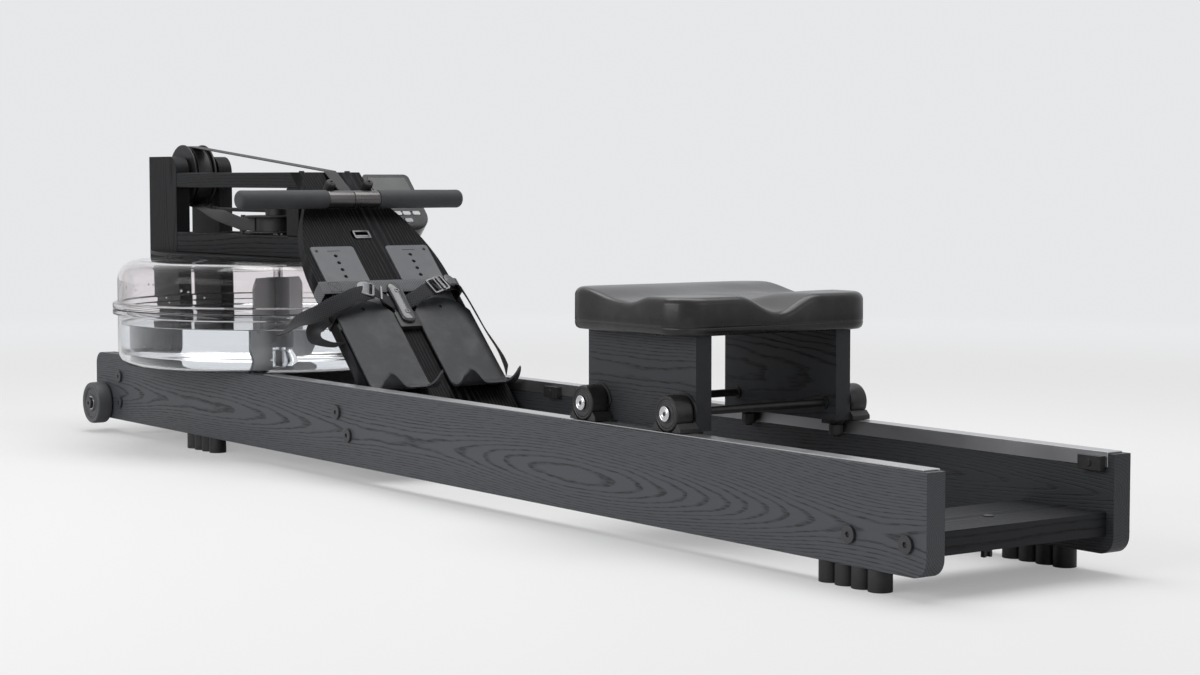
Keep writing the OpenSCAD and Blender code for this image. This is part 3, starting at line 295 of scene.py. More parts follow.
# %% [markdown]
# Each finish is one material. A helper makes the shader and its bump, so that every finish
# differs only in its group, its colours and its own few values.

# %% Finish helpers
def place_grain(tree, centre=(0, 0, 0), turn=(0, 0, 0)):
    spot = tree_node(tree, "ShaderNodeTexCoord").outputs["Object"]
    return tree_node(tree, "ShaderNodeMapping", {
        "Vector": vector_maths("SUBTRACT", spot, centre)[0], "Rotation": turn}).outputs[0]


def group_finish(name, group, given, own, bump, place=(), on_map=False):
    """A group's surface and the shader's own values; place: the group's centre and turn."""
    made, tree, shader = new_finish(name)
    vector = (tree_node(tree, "ShaderNodeTexCoord").outputs["UV"] if on_map
              else place_grain(tree, *place))
    skin = tree_node(tree, "ShaderNodeGroup", {"Vector": vector, **given}, node_tree=group).outputs
    raised = tree_node(tree, "ShaderNodeBump", {
        "Strength": bump[0], "Distance": bump[1], "Height": skin["Height"]})
    set_inputs(shader, {"Base Color": skin["Color"], "Normal": raised.outputs[0], **own})
    if "Roughness" in skin:
        set_inputs(shader, {"Roughness": skin["Roughness"]})
    return made


def ash(name, centre, turn, ring, wander, stain_and_painted_light, line, gloss):
    """stain, line: the grey of the wood and its dark lines, with painted light or shade per board.
    """
    return group_finish(name, ash_grain, {
        "Ring Width": ring, "Wander": wander, "Stain And Painted Light": (stain_and_painted_light * 0.95, stain_and_painted_light, stain_and_painted_light * 1.12, 1),
        "Line": (line, line, line * 1.1, 1)},
        {"Specular IOR Level": gloss}, (0.5, 0.0005), (centre, turn))


def moulding(name, tone, shine, grain, bump, metal=0.0, coat=0.0, mottle=0.14, gloss=0.32):
    return group_finish(name, moulded, {
        "Grain Scale": grain, "Tone": (*tone, 1), "Shine": shine, "Mottle": mottle},
        {"Metallic": metal, "Coat Weight": coat, "Specular IOR Level": gloss}, (bump, 0.0003))


def webbing(name, tone, high, thread, gloss=0.5):
    """tone, high: the colour between the threads and on top of them."""
    return group_finish(name, weave, {
        "Thread": thread, "Tone": (*tone, 1), "High": (*high, 1)},
        {"Roughness": 0.8, "Specular IOR Level": gloss, "Sheen Weight": gloss * 0.24},
        (0.8, 0.0006), on_map=True)


def clear(name, tint, bend_of_light, mirror=1.0):
    """mirror dims what is reflected head on."""
    made, tree, shader = new_finish(name)
    smears = noise_of(place_grain(tree), 9.0, 4.0, 0.6)
    smeared = tuple(0.97 * t for t in tint)
    set_inputs(shader, {
        "Transmission Weight": 1.0, "IOR": bend_of_light,
        "Specular Tint": (mirror, mirror, mirror, 1), "Roughness": times(smears, 0.04),
        "Base Color": mixed(times(smears, 0.3), (*tint, 1), (*smeared, 1))})
    return made


# %% [markdown]
# The boards run three ways, so the same grain is turned along each one's length, and its heart
# line lies a few centimetres behind the face that shows. All boards carry one black stain, but
# each board's grey is painted lighter or darker for the light it gets, the near rail lightest.

# %% Finishes
rail_low, rail_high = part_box("rail_left")
heart_y, heart_z = rail_low.y + 0.034, (rail_low.z + rail_high.z) / 2
board_lean = radians(44)
along, across, upright, leaning = (
    (0, 0, 0), (0, 0, QUARTER), (0, QUARTER, 0), (0, -board_lean, 0))
finishes = {
    # heart line's place and turn, ring width, wander, stain, dark line, gloss
    # stain and dark line are painted lighter or darker per board for the light each board gets
    "rail_left": ash("ash_rail_left", (0, heart_y, heart_z - 0.012), along,
                     0.0026, 0.085, 0.064, 0.019, 0.3),
    "rail_right": ash("ash_rail_right", (0.3, -heart_y, heart_z + 0.01), along,
                      0.0034, 0.07, 0.034, 0.011, 0.3),
    "long_board": ash("ash_beams", (0.1, 0.02, 0.36), along, 0.0036, 0.04, 0.008, 0.003, 0.16),
    "upright": ash("ash_posts", (-0.95, 0.02, 0), upright, 0.003, 0.05, 0.007, 0.003, 0.16),
    "cross_board": ash("ash_cross_boards", (0.97, 0, 0.03), across,
                       0.0038, 0.055, 0.018, 0.006, 0.14),
    "panel": ash("ash_seat_panels", (0.5, -0.07, 0.2), along, 0.002, 0.03, 0.034, 0.012, 0.2),
    "foot_board": ash("ash_footboard", (-0.2, 0.03, 0.14), leaning,
                      0.0048, 0.05, 0.0028, 0.034, 0.05),
    # tone, roughness, grain scale, bump
    "track": moulding("satin_track", (0.42, 0.42, 0.43), 0.36, 500, 0.1, metal=1.0),
    "black_steel": moulding("blackened_steel", (0.018, 0.018, 0.019), 0.4, 700, 0.2, metal=0.4),
    "bolt_grey": moulding("bolt_grey", (0.05, 0.0505, 0.054), 0.36, 700, 0.2, metal=0.4),
    "steel": moulding("bright_steel", (0.55, 0.55, 0.56), 0.24, 400, 0.08, metal=1.0),
    "worn_steel": moulding("speckled_steel", (0.11, 0.11, 0.115), 0.36, 1500, 0.6, metal=0.85),
    "rubber": moulding("black_rubber", (0.012, 0.012, 0.013), 0.5, 900, 0.3),
    "wheel": moulding("wheel_grey", (0.024, 0.0245, 0.026), 0.44, 1100, 0.25),
    "roller_grey": moulding("roller_grey", (0.07, 0.072, 0.078), 0.46, 1100, 0.25),
    "tread": moulding("tread_brown", (0.0125, 0.011, 0.01), 0.38, 1100, 0.3),
    "black_plastic": moulding("black_plastic", (0.014, 0.014, 0.015), 0.42, 1000, 0.3),
    "plate": moulding("foot_plate_grey", (0.084, 0.088, 0.096), 0.42, 1300, 0.45, mottle=0.4),
    # Painted shade: the heel cups are the plates' grey plastic, made darker for the shade they sit
    # in.
    "heel_cup": moulding("heel_cup_shaded_grey", (0.028, 0.0294, 0.0325), 0.42, 1300, 0.45,
                         mottle=0.36, gloss=0.2),
    "foam": moulding("grip_foam", (0.043, 0.0444, 0.048), 0.66, 1600, 0.5),
    "bronze": moulding("sleeve_bronze", (0.1, 0.095, 0.093), 0.28, 500, 0.1, metal=0.85),
    "clip_gloss": moulding("clip_gloss", (0.022, 0.0225, 0.025), 0.2, 700, 0.1, coat=0.6),
    "seat": moulding("seat_foam_skin", (0.01, 0.0098, 0.01), 0.3, 1500, 0.15, coat=0.08,
                     gloss=0.28),
    "gloss_black": moulding("monitor_black", (0.012, 0.012, 0.014), 0.25, 900, 0.1, coat=0.3),
    "screen": moulding("screen_window", (0.1, 0.105, 0.1), 0.14, 200, 0.02, coat=0.6),
    "key": moulding("pale_keys", (0.62, 0.64, 0.65), 0.5, 800, 0.15),
    "webbing_thread": moulding("strap_thread", (0.05, 0.05, 0.053), 0.6, 900, 0.2),
    "clear_paddle": moulding("paddle_grey", (0.3, 0.3, 0.31), 0.3, 700, 0.1),
    # gap tone, high tone, thread width
    "webbing": webbing("strap_webbing", (0.015, 0.0153, 0.0165), (0.075, 0.0765, 0.082), 0.0022,
                       gloss=0.16),
    # Painted light: the flat band is the same webbing as the other foot straps, made several times
    # lighter for the light it catches.
    "flat_webbing_lit": webbing("flat_webbing_lit", (0.085, 0.087, 0.093), (0.24, 0.244, 0.256), 0.0022,
                            gloss=0.16),
    "drive_webbing": webbing("drive_webbing", (0.012, 0.012, 0.013), (0.06, 0.06, 0.064), 0.0018),
    "cord_braid": webbing("cord_braid", (0.006, 0.006, 0.0066), (0.05, 0.05, 0.054), 0.0016),
    # tint, bend of light
    "tank": clear("tank_clear", (0.93, 0.9, 0.905), 1.49, mirror=0.12),
    "tank_base": clear("tank_clear_base", (0.94, 0.945, 0.955), 1.49, mirror=0.25),
    "water": clear("still_water", (0.95, 0.975, 0.985), 1.333),
}
print("finishes:", len(finishes))

# %% [markdown]
# Real edges are never razor sharp. A copy of each solid is merged into clean faces and its
# sharp edges get a small round, which catches the light that tells the eye how big it is. The
# shaft, the screen and the keys are too small for that, so they keep their mesh.

# %% Softened copies of the solids
FLAT_ANGLE, ROUNDED_ANGLE = radians(0.5), radians(38)


def as_mesh(bm, name, smooth_angle):
    mesh = bpy.data.meshes.new(name)
    bm.to_mesh(mesh)
    bm.free()
    mesh.shade_smooth()
    mesh.set_sharp_from_angle(angle=radians(smooth_angle))
    return mesh


def settled(maker, name):
    """Turns an object with live modifiers into a plain mesh, and removes the object."""
    graph = bpy.context.evaluated_depsgraph_get()
    mesh = bpy.data.meshes.new_from_object(
        maker.evaluated_get(graph), preserve_all_data_layers=True, depsgraph=graph)
    mesh.name = name
    bpy.data.objects.remove(maker)
    return mesh


def dress(piece, finish, node, rides=True):
    piece.data.materials.clear()
    piece.data.materials.append(finishes[finish])
    if rides:
        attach(piece, body_of[node])


def built(bm, name, finish, node, smooth_angle, rides=True):
    """A finished piece, with its faces turned outwards."""
    bmesh.ops.recalc_face_normals(bm, faces=bm.faces)
    piece = link_object(name, as_mesh(bm, name, smooth_angle))
    dress(piece, finish, node, rides)
    return piece


def softened(node, finish, round_mm):
    bm = bmesh.new()
    bm.from_mesh(frame["nodes"][node].data)
    bmesh.ops.remove_doubles(bm, verts=bm.verts, dist=0.00001)
    bmesh.ops.dissolve_limit(bm, angle_limit=FLAT_ANGLE, verts=bm.verts, edges=bm.edges)
    edges = [e for e in bm.edges
             if len(e.link_faces) == 2 and abs(e.calc_face_angle(0)) > ROUNDED_ANGLE]
    bmesh.ops.bevel(bm, geom=edges, offset=round_mm * MM, offset_type="OFFSET", segments=2,
                    profile=0.5, affect="EDGES", clamp_overlap=True)
    rough_cut = link_object(node + "_rounded", as_mesh(bm, node + "_rounded", 40))
    even = rough_cut.modifiers.new("even shading", "WEIGHTED_NORMAL")
    even.keep_sharp, even.weight = True, 100
    piece = link_object(node + "_finished", settled(rough_cut, node + "_finished"))
    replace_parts(piece, node)
    dress(piece, finish, node)


rounds = {  # finish and width of the round, in mm
    ("rail_left", 2.2): "rail_left", ("rail_right", 2.2): "rail_right",
    ("track", 0.5): "seat_tracks", ("steel", 0.5): "pulley_axle",
    ("cross_board", 1.8): "rear_spreader front_spreader foot_spreader",
    ("long_board", 1.8): "upper_beams lower_beams", ("long_board", 1.0): "top_deck",
    ("upright", 2.0): "front_posts", ("upright", 1.5): "rear_braces",
    ("foot_board", 1.6): "footboard", ("panel", 1.6): "seat_panels",
    ("bolt_grey", 0.5): "frame_bolts", ("black_steel", 0.5): "seat_axles",
    ("black_steel", 0.4): "roller_brackets", ("rubber", 1.2): "rubber_feet",
    ("rubber", 1.0): "wheel_shoes", ("rubber", 0.8): "rail_stops handle_pegs",
    ("rubber", 0.5): "post_bumpers", ("wheel", 0.5): "guide_roller",
    ("black_plastic", 0.6): "shaft_bearing strap_drum pulley_cheeks",
    ("plate", 0.6): "footplates", ("heel_cup", 0.8): "heel_left heel_right",
    ("gloss_black", 1.6): "monitor_case", ("clear_paddle", 0.4): "paddle"}
for (finish, width), nodes in rounds.items():
    for node in nodes.split():
        softened(node, finish, width)
print("softened:", sum(len(nodes.split()) for nodes in rounds.values()))

# %% Plain solids keep their mesh and take a finish
kept = {"paddle_shaft": "steel", "monitor_screen": "screen", "key_left": "key",
        "key_middle": "key", "key_right": "key", "key_lower": "key"}
for node, finish in kept.items():
    mesh = frame["nodes"][node].data
    mesh.materials.clear()
    mesh.materials.append(finishes[finish])
print("kept:", len(kept))

# %% [markdown]
# Round things are turned on a lathe: a half outline swept about an axis. One helper does it
# for wheels, grips and the tank, and closes the ends so that each piece is a sound solid.

# %% Lathe helper
ON_AXIS = 1e-7


def rounded_outline(points, radius):
    """Cuts each corner of a closed outline back and fills it with a small arc."""
    out = []
    for i, (here, after) in enumerate(zip(points, points[1:] + points[:1])):
        a, b = Vector(points[i - 1]) - Vector(here), Vector(after) - Vector(here)
        back = min(radius, 0.45 * a.length, 0.45 * b.length)
        if here[0] < 1e-6 or back < 1e-6 or abs(a.angle(b) - pi) < 0.2:
            out.append(tuple(here))
            continue
        start, end = (Vector(here) + way.normalized() * back for way in (a, b))
        for t in (0, 0.25, 0.5, 0.75, 1):
            out.append(tuple(
                start * (1 - t) ** 2 + Vector(here) * 2 * t * (1 - t) + end * t * t))
    return out


def lathe_into(bm, outline, centre, axis, segments):
    """Sweeps a closed (radius, along) outline about an axis through centre."""
    turn = Z_WAY.rotation_difference(Vector(axis)).to_matrix()
    rings = []
    for k in range(segments):
        c, s = cos(tau * k / segments), sin(tau * k / segments)
        rings.append([bm.verts.new(centre + turn @ Vector((r * c, r * s, a))) for r, a in outline])
    for one, two in zip(rings, rings[1:] + rings[:1]):
        for i in range(len(outline)):
            j = (i + 1) % len(outline)
            if outline[i][0] >= ON_AXIS or outline[j][0] >= ON_AXIS:
                bm.faces.new((one[i], two[i], two[j], one[j]))


def turned(name, outline, corner, spots, finish, node, segments=64, smooth_angle=32):
    """Turns an outline in mm, its corners rounded, on spots of a centre and an axis."""
    bm = bmesh.new()
    shape = rounded_outline([(r * MM, a * MM) for r, a in outline], corner * MM)
    for centre, axis in spots:
        lathe_into(bm, shape, Vector(centre) * MM, axis, segments)
    bmesh.ops.remove_doubles(bm, verts=bm.verts, dist=1e-7)
    bmesh.ops.dissolve_degenerate(bm, dist=1e-8, edges=bm.edges)
    return built(bm, name, finish, node, smooth_angle)


def mirrored(half):
    """Half an outline and its mirror image."""
    return half + [(r, -a) for r, a in reversed(half)]


def arc_of(middle_r, middle_a, radius, first, last, steps=10):
    angles = (radians(first + (last - first) * k / steps) for k in range(steps + 1))
    return [(middle_r + radius * cos(t), middle_a + radius * sin(t)) for t in angles]


def both_sides(x, y, z):
    """A spot on each side of the machine, with its axis pointing outwards."""
    return [((x, s * y, z), (0, s, 0)) for s in (-1, 1)]


# %% [markdown]
# The tank is two blow-moulded halves that meet in a flange. Both walls have to be modelled,
# because light bends once into the plastic and once out again. The water is one plain body
# inside, a hair's breadth from the wall, with its edge drawn up where it wets the plastic.

# %% Tank, seal and water
TANK_R, FLANGE_R, WALL, LOW_ROUND, TOP_ROUND, SHAFT_R = 260, 268, 4, 22, 34, 6.05
tank_low, _, tank_middle = box_mm("tank_lower")
tank_x, tank_z, tank_top = tank_middle.x, tank_low.z, box_mm("tank_upper")[1].z
tank_spot = [((tank_x, 0, 0), Z_WAY)]
flange_low, flange_high = tank_z + 82.7, tank_z + 100.7
seal_low, seal_high = flange_low + 8.3, flange_low + 9.7
inner_r, boss_top, pivot_z = TANK_R - WALL, tank_z + 26, tank_z + 8
low_middle = TANK_R - LOW_ROUND, tank_z + LOW_ROUND
top_middle = TANK_R - TOP_ROUND, tank_top - TOP_ROUND
lower_shell = (
    [(0, tank_z)] + arc_of(*low_middle, LOW_ROUND, -90, 0)
    + [(TANK_R, flange_low - 2), (FLANGE_R, flange_low), (FLANGE_R, seal_low), (inner_r, seal_low)]
    + arc_of(*low_middle, LOW_ROUND - WALL, 0, -90)
    + [(26, tank_z + WALL), (15.6, boss_top), (SHAFT_R, boss_top), (SHAFT_R, pivot_z),
       (0, pivot_z)])
upper_shell = (
    [(inner_r, seal_high), (FLANGE_R, seal_high), (FLANGE_R, flange_high),
     (TANK_R, flange_high + 2)]
    + arc_of(*top_middle, TOP_ROUND, 0, 90) + [(18, tank_top), (18, tank_top - WALL)]
    + arc_of(*top_middle, TOP_ROUND - WALL, 90, 0))
seal_ring = [(257, seal_low + 0.02), (262, seal_low + 0.02),
             (262, seal_high - 0.02), (257, seal_high - 0.02)]
water_low, water_top = (corner.z for corner in box_mm("tank_water")[:2])
water_body = (
    [(27, water_low)] + arc_of(237.7, water_low + 18, 18, -90, 0)
    + [(255.7, water_top + 1.6), (254.6, water_top + 0.4), (252, water_top), (8.3, water_top),
       (8.3, boss_top + 0.6), (16.2, boss_top + 0.6)])
for name, node, outline, corner, finish, smooth_angle in (
        ("tank_lower_shell", "tank_lower", lower_shell, 1.0, "tank_base", 50),
        ("tank_upper_shell", "tank_upper", upper_shell, 1.0, "tank", 50),
        ("tank_seal_ring", "tank_seal", seal_ring, 0.3, "rubber", 32),
        ("still_water", "tank_water", water_body, 0, "water", 50)):
    piece = turned(name, outline, corner, tank_spot, finish, node, segments=192,
                   smooth_angle=smooth_angle)
    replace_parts(piece, node)
print("tank radius", TANK_R, "mm, water surface at", round(water_top, 1), "mm")

# %% [markdown]
# Small wheels carry the seat, and two larger ones let the machine be rolled away. Each has a
# soft tread round a plastic hub, a bearing in the middle and a bolt or an axle end. The seat's
# bearings shine, so each also gets a bright ring with two turned grooves before the axle's end.
# Four plain rollers keep the seat between the rails.

# %% Wheels
SEAT_WHEEL_WIDTH, BEARING_R, AXLE_R = 26, 8, 5.1
axle_end = box_mm("seat_axles")[1].y


def wheel_outlines(radius, half, hub_r, bearing_r, web_dip):
    """A tread ring and a hub with a dished face, measured from the wheel's own middle."""
    tread = mirrored([(hub_r, 1 - half), (radius - 2.2, -half), (radius - 0.6, 1.6 - half),
                      (radius, 5 - half)])
    hub = [(bearing_r, 2 - half), (hub_r, 1.2 - half), (hub_r, half - 1.2),
           (hub_r - 1.5, half - 0.4), (hub_r - 3, half - web_dip),
           (bearing_r + 3.5, half - web_dip), (bearing_r + 2, half - 0.3), (bearing_r, half - 0.3)]
    return tread, hub


for node in ("seat_wheels_front", "seat_wheels_rear"):
    low, high, middle = box_mm(node)
    radius, half = (high.z - low.z) / 2, SEAT_WHEEL_WIDTH / 2
    spots = both_sides(middle.x, high.y - half, middle.z)
    tread, hub = wheel_outlines(radius, half, radius - 4.5, BEARING_R, 1.6)
    treads = turned(node + "_treads", tread, 0.7, spots, "tread", node, segments=72)
    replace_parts(treads, node)
    turned(node + "_hubs", hub, 0.5, spots, "wheel", node, segments=72)
    bearing = [(AXLE_R, half - 3), (BEARING_R, half - 3), (BEARING_R, half - 1.1),
               (BEARING_R - 1.2, half - 0.7), (BEARING_R - 2.0, half - 1.4),
               (AXLE_R + 1.6, half - 1.4), (AXLE_R + 1.0, half - 0.7), (AXLE_R, half - 0.9)]
    turned(node + "_bearings", bearing, 0.2, spots, "steel", node, segments=48)
    a = max(axle_end, high.y)
    face = [(2.6, a - 0.9), (9.2, a - 0.9), (9.2, a + 0.3), (8.4, a + 0.7), (7.4, a + 0.2),
            (6.6, a + 0.2), (5.8, a + 0.7), (4.6, a + 0.7), (3.8, a + 0.2), (2.6, a + 0.2)]
    spots = both_sides(middle.x, 0, middle.z)
    turned(node + "_bearing_faces", face, 0.15, spots, "steel", node, segments=48)
print("seat wheel radius", round(radius, 1), "mm")
for node, outward in (("transport_wheel_left", -1), ("transport_wheel_right", 1)):
    low, high, middle = box_mm(node)
    radius, half = (high.z - low.z) / 2, (high.y - low.y) / 2
    spots = [(middle, (0, outward, 0))]
    tread, hub = wheel_outlines(radius, half, radius - 8, 11.9, 3.0)
    tyre = turned(node + "_tyre", tread, 0.7, spots, "roller_grey", node, segments=80)
    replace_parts(tyre, node)
    turned(node + "_hub", hub, 0.5, spots, "roller_grey", node, segments=80)
    cap = [(0, 2 - half), (11.8, 2 - half), (11.8, half - 0.4), (8.5, half), (7.5, half),
           (7.2, half - 0.8), (3.4, half - 0.8), (3.4, half - 3.4), (0, half - 3.4)]
    turned(node + "_bolt", cap, 0.4, spots, "steel", node, segments=48)
for node in ("roller_front_left", "roller_front_right", "roller_rear_left", "roller_rear_right"):
    low, high, middle = box_mm(node)
    r, tall = (high.x - low.x) / 2, high.z - low.z
    side = [(3.1, 0), (r - 1, 0), (r, 1.2), (r, tall - 1.2), (r - 1, tall), (3.1, tall)]
    spots = [((middle.x, middle.y, low.z), Z_WAY)]
    roll = turned(node + "_turned", side, 0.5, spots, "wheel", node, segments=40)
    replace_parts(roll, node)

# %% [markdown]
# The handle is a steel tube with a foam grip at each side and two bronze-grey sleeves in the
# middle. Foam ends are domed, and the foam is a little fuller near its middle.

# %% Handle
TUBE_END, GRIP_START, GRIP_END, GRIP_R, GRIP_LEAN, BORE_R = 193, 60, 199, 14.5, 0.25, 10.05
handle_middle = box_mm("handle_bar")[2]
handle_x, handle_z = handle_middle.x, handle_middle.z
tube_side = [(0, -TUBE_END), (10, -TUBE_END), (10, TUBE_END), (0, TUBE_END)]
grip = (
    [(BORE_R, 46), (13.6, 45.8), (14.4, 47), (GRIP_R, GRIP_START)]
    + [(GRIP_R - GRIP_LEAN * (1 - sin(pi * k / 12)), GRIP_START + 125 * k / 12)
       for k in range(1, 12)]
    + arc_of(6.5, GRIP_END - 8, 8, 0, 90, 8)
    + [(0, GRIP_END), (0, TUBE_END + 0.2), (BORE_R, TUBE_END + 0.2)])
sleeve = [(BORE_R, 0.4), (13.0, 0.4), (13.5, 1.0), (13.5, 43.4), (13.2, 44.2), (13.2, 45.0),
          (BORE_R, 45.0)]
ends = both_sides(handle_x, 0, handle_z)
for name, node, outline, corner, spots, finish in (
        ("handle_tube", "handle_bar", tube_side, 0.6, ends[1:], "steel"),
        ("foam_grips", "handle_grips", grip, 0, ends, "foam"),
        ("handle_sleeves_turned", "handle_sleeves", sleeve, 0.3, ends, "bronze")):
    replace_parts(turned(name, outline, corner, spots, finish, node), node)
print("handle is", 2 * GRIP_END, "mm long")

# %% [markdown]
# The strap wheel at the top is a deep-rimmed pulley. A groove between its two rims carries the
# band, and a dished web joins them to the hub.

# %% Top pulley
pulley_low, pulley_high, pulley_middle = box_mm("top_pulley")
pulley_x, pulley_z = pulley_middle.x, pulley_middle.z
half, rim_r = (pulley_high.y - pulley_low.y) / 2, (pulley_high.z - pulley_low.z) / 2
wheel_side = mirrored([
    (6.3, -half), (16, -half), (17, 4 - half), (38, 4 - half), (40, -half), (rim_r - 1, -half),
    (rim_r, 0.8 - half), (50, 1.7 - half)])
pulley = turned("pulley_wheel", wheel_side, 0.4, [((pulley_x, 0, pulley_z), Y_WAY)],
                "black_plastic", "top_pulley", segments=96)
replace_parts(pulley, "top_pulley")
print("pulley rim", round(rim_r, 1), "mm")

# %% [markdown]
# Webbing is a flat woven band, not a tube. Each strap is lofted along a smooth line that also
# carries the direction of the band's width, so it can lie flat, twist and stand on edge. Its
# map is in metres across and along, which keeps the weave the same size on every strap.

# %% Ribbon helper
BAND = [(-1, 0.3), (-0.92, 0.9), (-0.5, 1), (0.5, 1), (0.92, 0.9), (1, 0.3)]
BAND += [(-u, -h) for u, h in BAND]
DRIVE_BAND, FOOT_BAND = (0.022, 0.0018), (0.025, 0.0015)  # width and thickness


def skinned(bm, rings, capped=True):
    """Lays faces between closed rings and over both ends."""
    walls = []
    for one, two in zip(rings, rings[1:]):
        nexts = [*range(1, len(one)), 0]
        walls.append([bm.faces.new((one[k], one[n], two[n], two[k])) for k, n in enumerate(nexts)])
    if capped:
        bm.faces.new(rings[0][::-1])
        bm.faces.new(rings[-1])
    return walls


def smooth_line(stops, steps=6):
    """A Catmull-Rom line through stops, each a tuple of place and width direction."""
    flat = [[*a, *b] for a, b in stops]
    flat = [flat[0], *flat, flat[-1]]
    out = []
    for i in range(1, len(flat) - 2):
        for t in (k / steps for k in range(steps)):
            row = [0.5 * (2 * b + (c - a) * t + (2 * a - 5 * b + 4 * c - d) * t * t
                          + (3 * b - a - 3 * c + d) * t ** 3)
                   for a, b, c, d in zip(*flat[i - 1:i + 3])]
            out.append((Vector(row[:3]), Vector(row[3:])))
    out.append((Vector(flat[-1][:3]), Vector(flat[-1][3:])))
    return out


def ribbon_into(bm, line, width, thick):
    cloth = bm.loops.layers.uv.verify()
    rings, gone = [], []
    for i, (spot, side) in enumerate(line):
        ahead = (line[min(i + 1, len(line) - 1)][0] - line[max(i - 1, 0)][0]).normalized()
        up = ahead.cross(side).normalized()
        side = up.cross(ahead).normalized()
        gone.append(gone[-1] + (spot - line[i - 1][0]).length if i else 0.0)
        rings.append([bm.verts.new(spot + side * (width / 2 * u) + up * (thick / 2 * h))
                      for u, h in BAND])
    for wall, a, b in zip(skinned(bm, rings), gone, gone[1:]):
        for j, face in enumerate(wall):
            n = (j + 1) % len(BAND)
            for loop, (k, v) in zip(face.loops, ((j, a), (n, a), (n, b), (j, b))):
                loop[cloth].uv = (BAND[k][0] * width / 2 + 1.0, v)


def strap_piece(name, lines, band, finish, node, rides=True):
    bm = bmesh.new()
    for line in lines:
        ribbon_into(bm, line, *band)
    return built(bm, name, finish, node, 50, rides)


# %% [markdown]
# The drive strap leaves the pulley, bends over the top edge of the board and ends at the
# handle. In use it pays out; here it is built once, where it lies at rest, and rides on no body.

# %% Drive strap to the handle
def side_way(angle):
    """The direction at an angle in radians, in the plane of the machine's length."""
    return Vector((cos(angle), 0, sin(angle)))


BOARD_TOP_Z, STRAP_R, BEND_R, HANDLE_R = 448, 51.3, 8, 14.2
board_foot = Vector((-161, 0, 137))
up_board, off_board = side_way(pi - board_lean), side_way(QUARTER - board_lean)


def on_board(up, y, out):
    """A place in metres, from mm in the board's own axes."""
    return (board_foot + up_board * up + off_board * out + Y_WAY * y) * MM


def round_pulley(angle):
    return (Vector((pulley_x, 0, pulley_z)) + side_way(angle) * STRAP_R) * MM


corner_up = (BOARD_TOP_Z - board_foot.z) / up_board.z
strap_corner = board_foot + up_board * corner_up + side_way(radians(70)) * 1.7
reach = strap_corner - Vector((pulley_x, 0, pulley_z))
lift = atan2(reach.z, reach.x)
leave = lift + acos(STRAP_R / reach.length)
run_in = lift - asin(STRAP_R / reach.length)
run_out = atan2(handle_z - strap_corner.z, handle_x - strap_corner.x)
bend_start = strap_corner - side_way(run_in) * BEND_R * tan((run_in - run_out) / 2)
bend_middle = bend_start + side_way(run_in - QUARTER) * BEND_R
drive_line = [round_pulley(leave).lerp(bend_start * MM, k / 14) for k in range(14)]
drive_line += [
    (bend_middle + side_way(QUARTER + run_in + (run_out - run_in) * k / 8) * BEND_R) * MM
    for k in range(9)]
strap_end = (Vector((handle_x, 0, handle_z)) - side_way(run_out) * HANDLE_R) * MM
bend_end = drive_line[-1].copy()
drive_line += [bend_end.lerp(strap_end, k / 10) for k in range(1, 11)]
drive_strap = strap_piece("drive_strap", [[(p, Y_WAY) for p in drive_line]], DRIVE_BAND,
                          "drive_webbing", "strap_run", rides=False)
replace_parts(drive_strap, "strap_run")
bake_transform(drive_strap)
print("drive strap, bend at", [round(v, 3) for v in bend_end])

# %% [markdown]
# The second run of the same band comes off the pulley's underside, falls towards the drum and
# turns from flat to upright on the way, because the drum's axle stands and the pulley's lies.

# %% Drive strap to the drum
DRUM_LINE_R, PULLEY_FOOT, STRAIGHT = 39.3, 3 * QUARTER, 18
drum_reach, drum_mid = tank_x - pulley_x, box_mm("strap_return")[0].z + 11
drum_skew = asin(DRUM_LINE_R / drum_reach)
return_reach = drum_reach - DRUM_LINE_R * sin(drum_skew)


def eased(t):
    t = max(0.0, min(1.0, t))
    return t * t * (3 - 2 * t)


return_line = [(round_pulley(leave + (PULLEY_FOOT - leave) * k / 16), Y_WAY) for k in range(16)]
for q in (k / 30 for k in range(31)):
    run = return_reach * q
    aside = (max(0, run - STRAIGHT) * return_reach * tan(drum_skew)
             / (return_reach - STRAIGHT))
    roll = QUARTER * eased((q - 0.12) / 0.55)
    fall = min(1, q / 0.78)
    height = (pulley_z - STRAP_R) * (1 - fall) + drum_mid * fall
    return_line.append((Vector((pulley_x + run, -aside, height)) * MM,
                        Vector((0, cos(roll), sin(roll)))))
return_strap = strap_piece("return_strap", [return_line], DRIVE_BAND, "drive_webbing",
                           "strap_return")
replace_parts(return_strap, "strap_return")
print("return strap meets the drum at height", round(drum_mid, 1), "mm")

# %% [markdown]
# The foot straps are looser and wider. An arched band runs from the centre clip out to each
# buckle, a flat band lies across the board above it, and the free tails hang over the edges
# with the slow twist that stiff webbing keeps.

# %% Foot straps
CLIP_UP, FLAT_BAND_UP, STRAP_SLANT, BUCKLE_Y = 153, 191, 0.28, 50
FLAT_WAY = (1, 0, 0)


def board_ribbon(stops):
    """stops: (up, y, out) places in mm with a width direction in the same board axes."""
    return smooth_line([
        (on_board(*place), up_board * up + Y_WAY * y + off_board * out)
        for place, (up, y, out) in stops])


arch = [(0, 7.5), (15, 7.8), (30, 14), (42, 21.2), (50, 23), (66, 23), (84, 23), (92, 21.2),
        (104, 16.5), (114.3, 11), (118.6, 7), (119.3, 2), (119.3, -12), (119.3, -20),
        (117, -23.3), (104, -23.3), (92, -23.3)]


def slanted_band(side, fall):
    """fall: how steeply the band turns back down the board once it is past its buckle."""
    return board_ribbon([
        ((CLIP_UP + STRAP_SLANT * y - fall * max(0, y - BUCKLE_Y), side * y, out), FLAT_WAY)
        for y, out in arch])


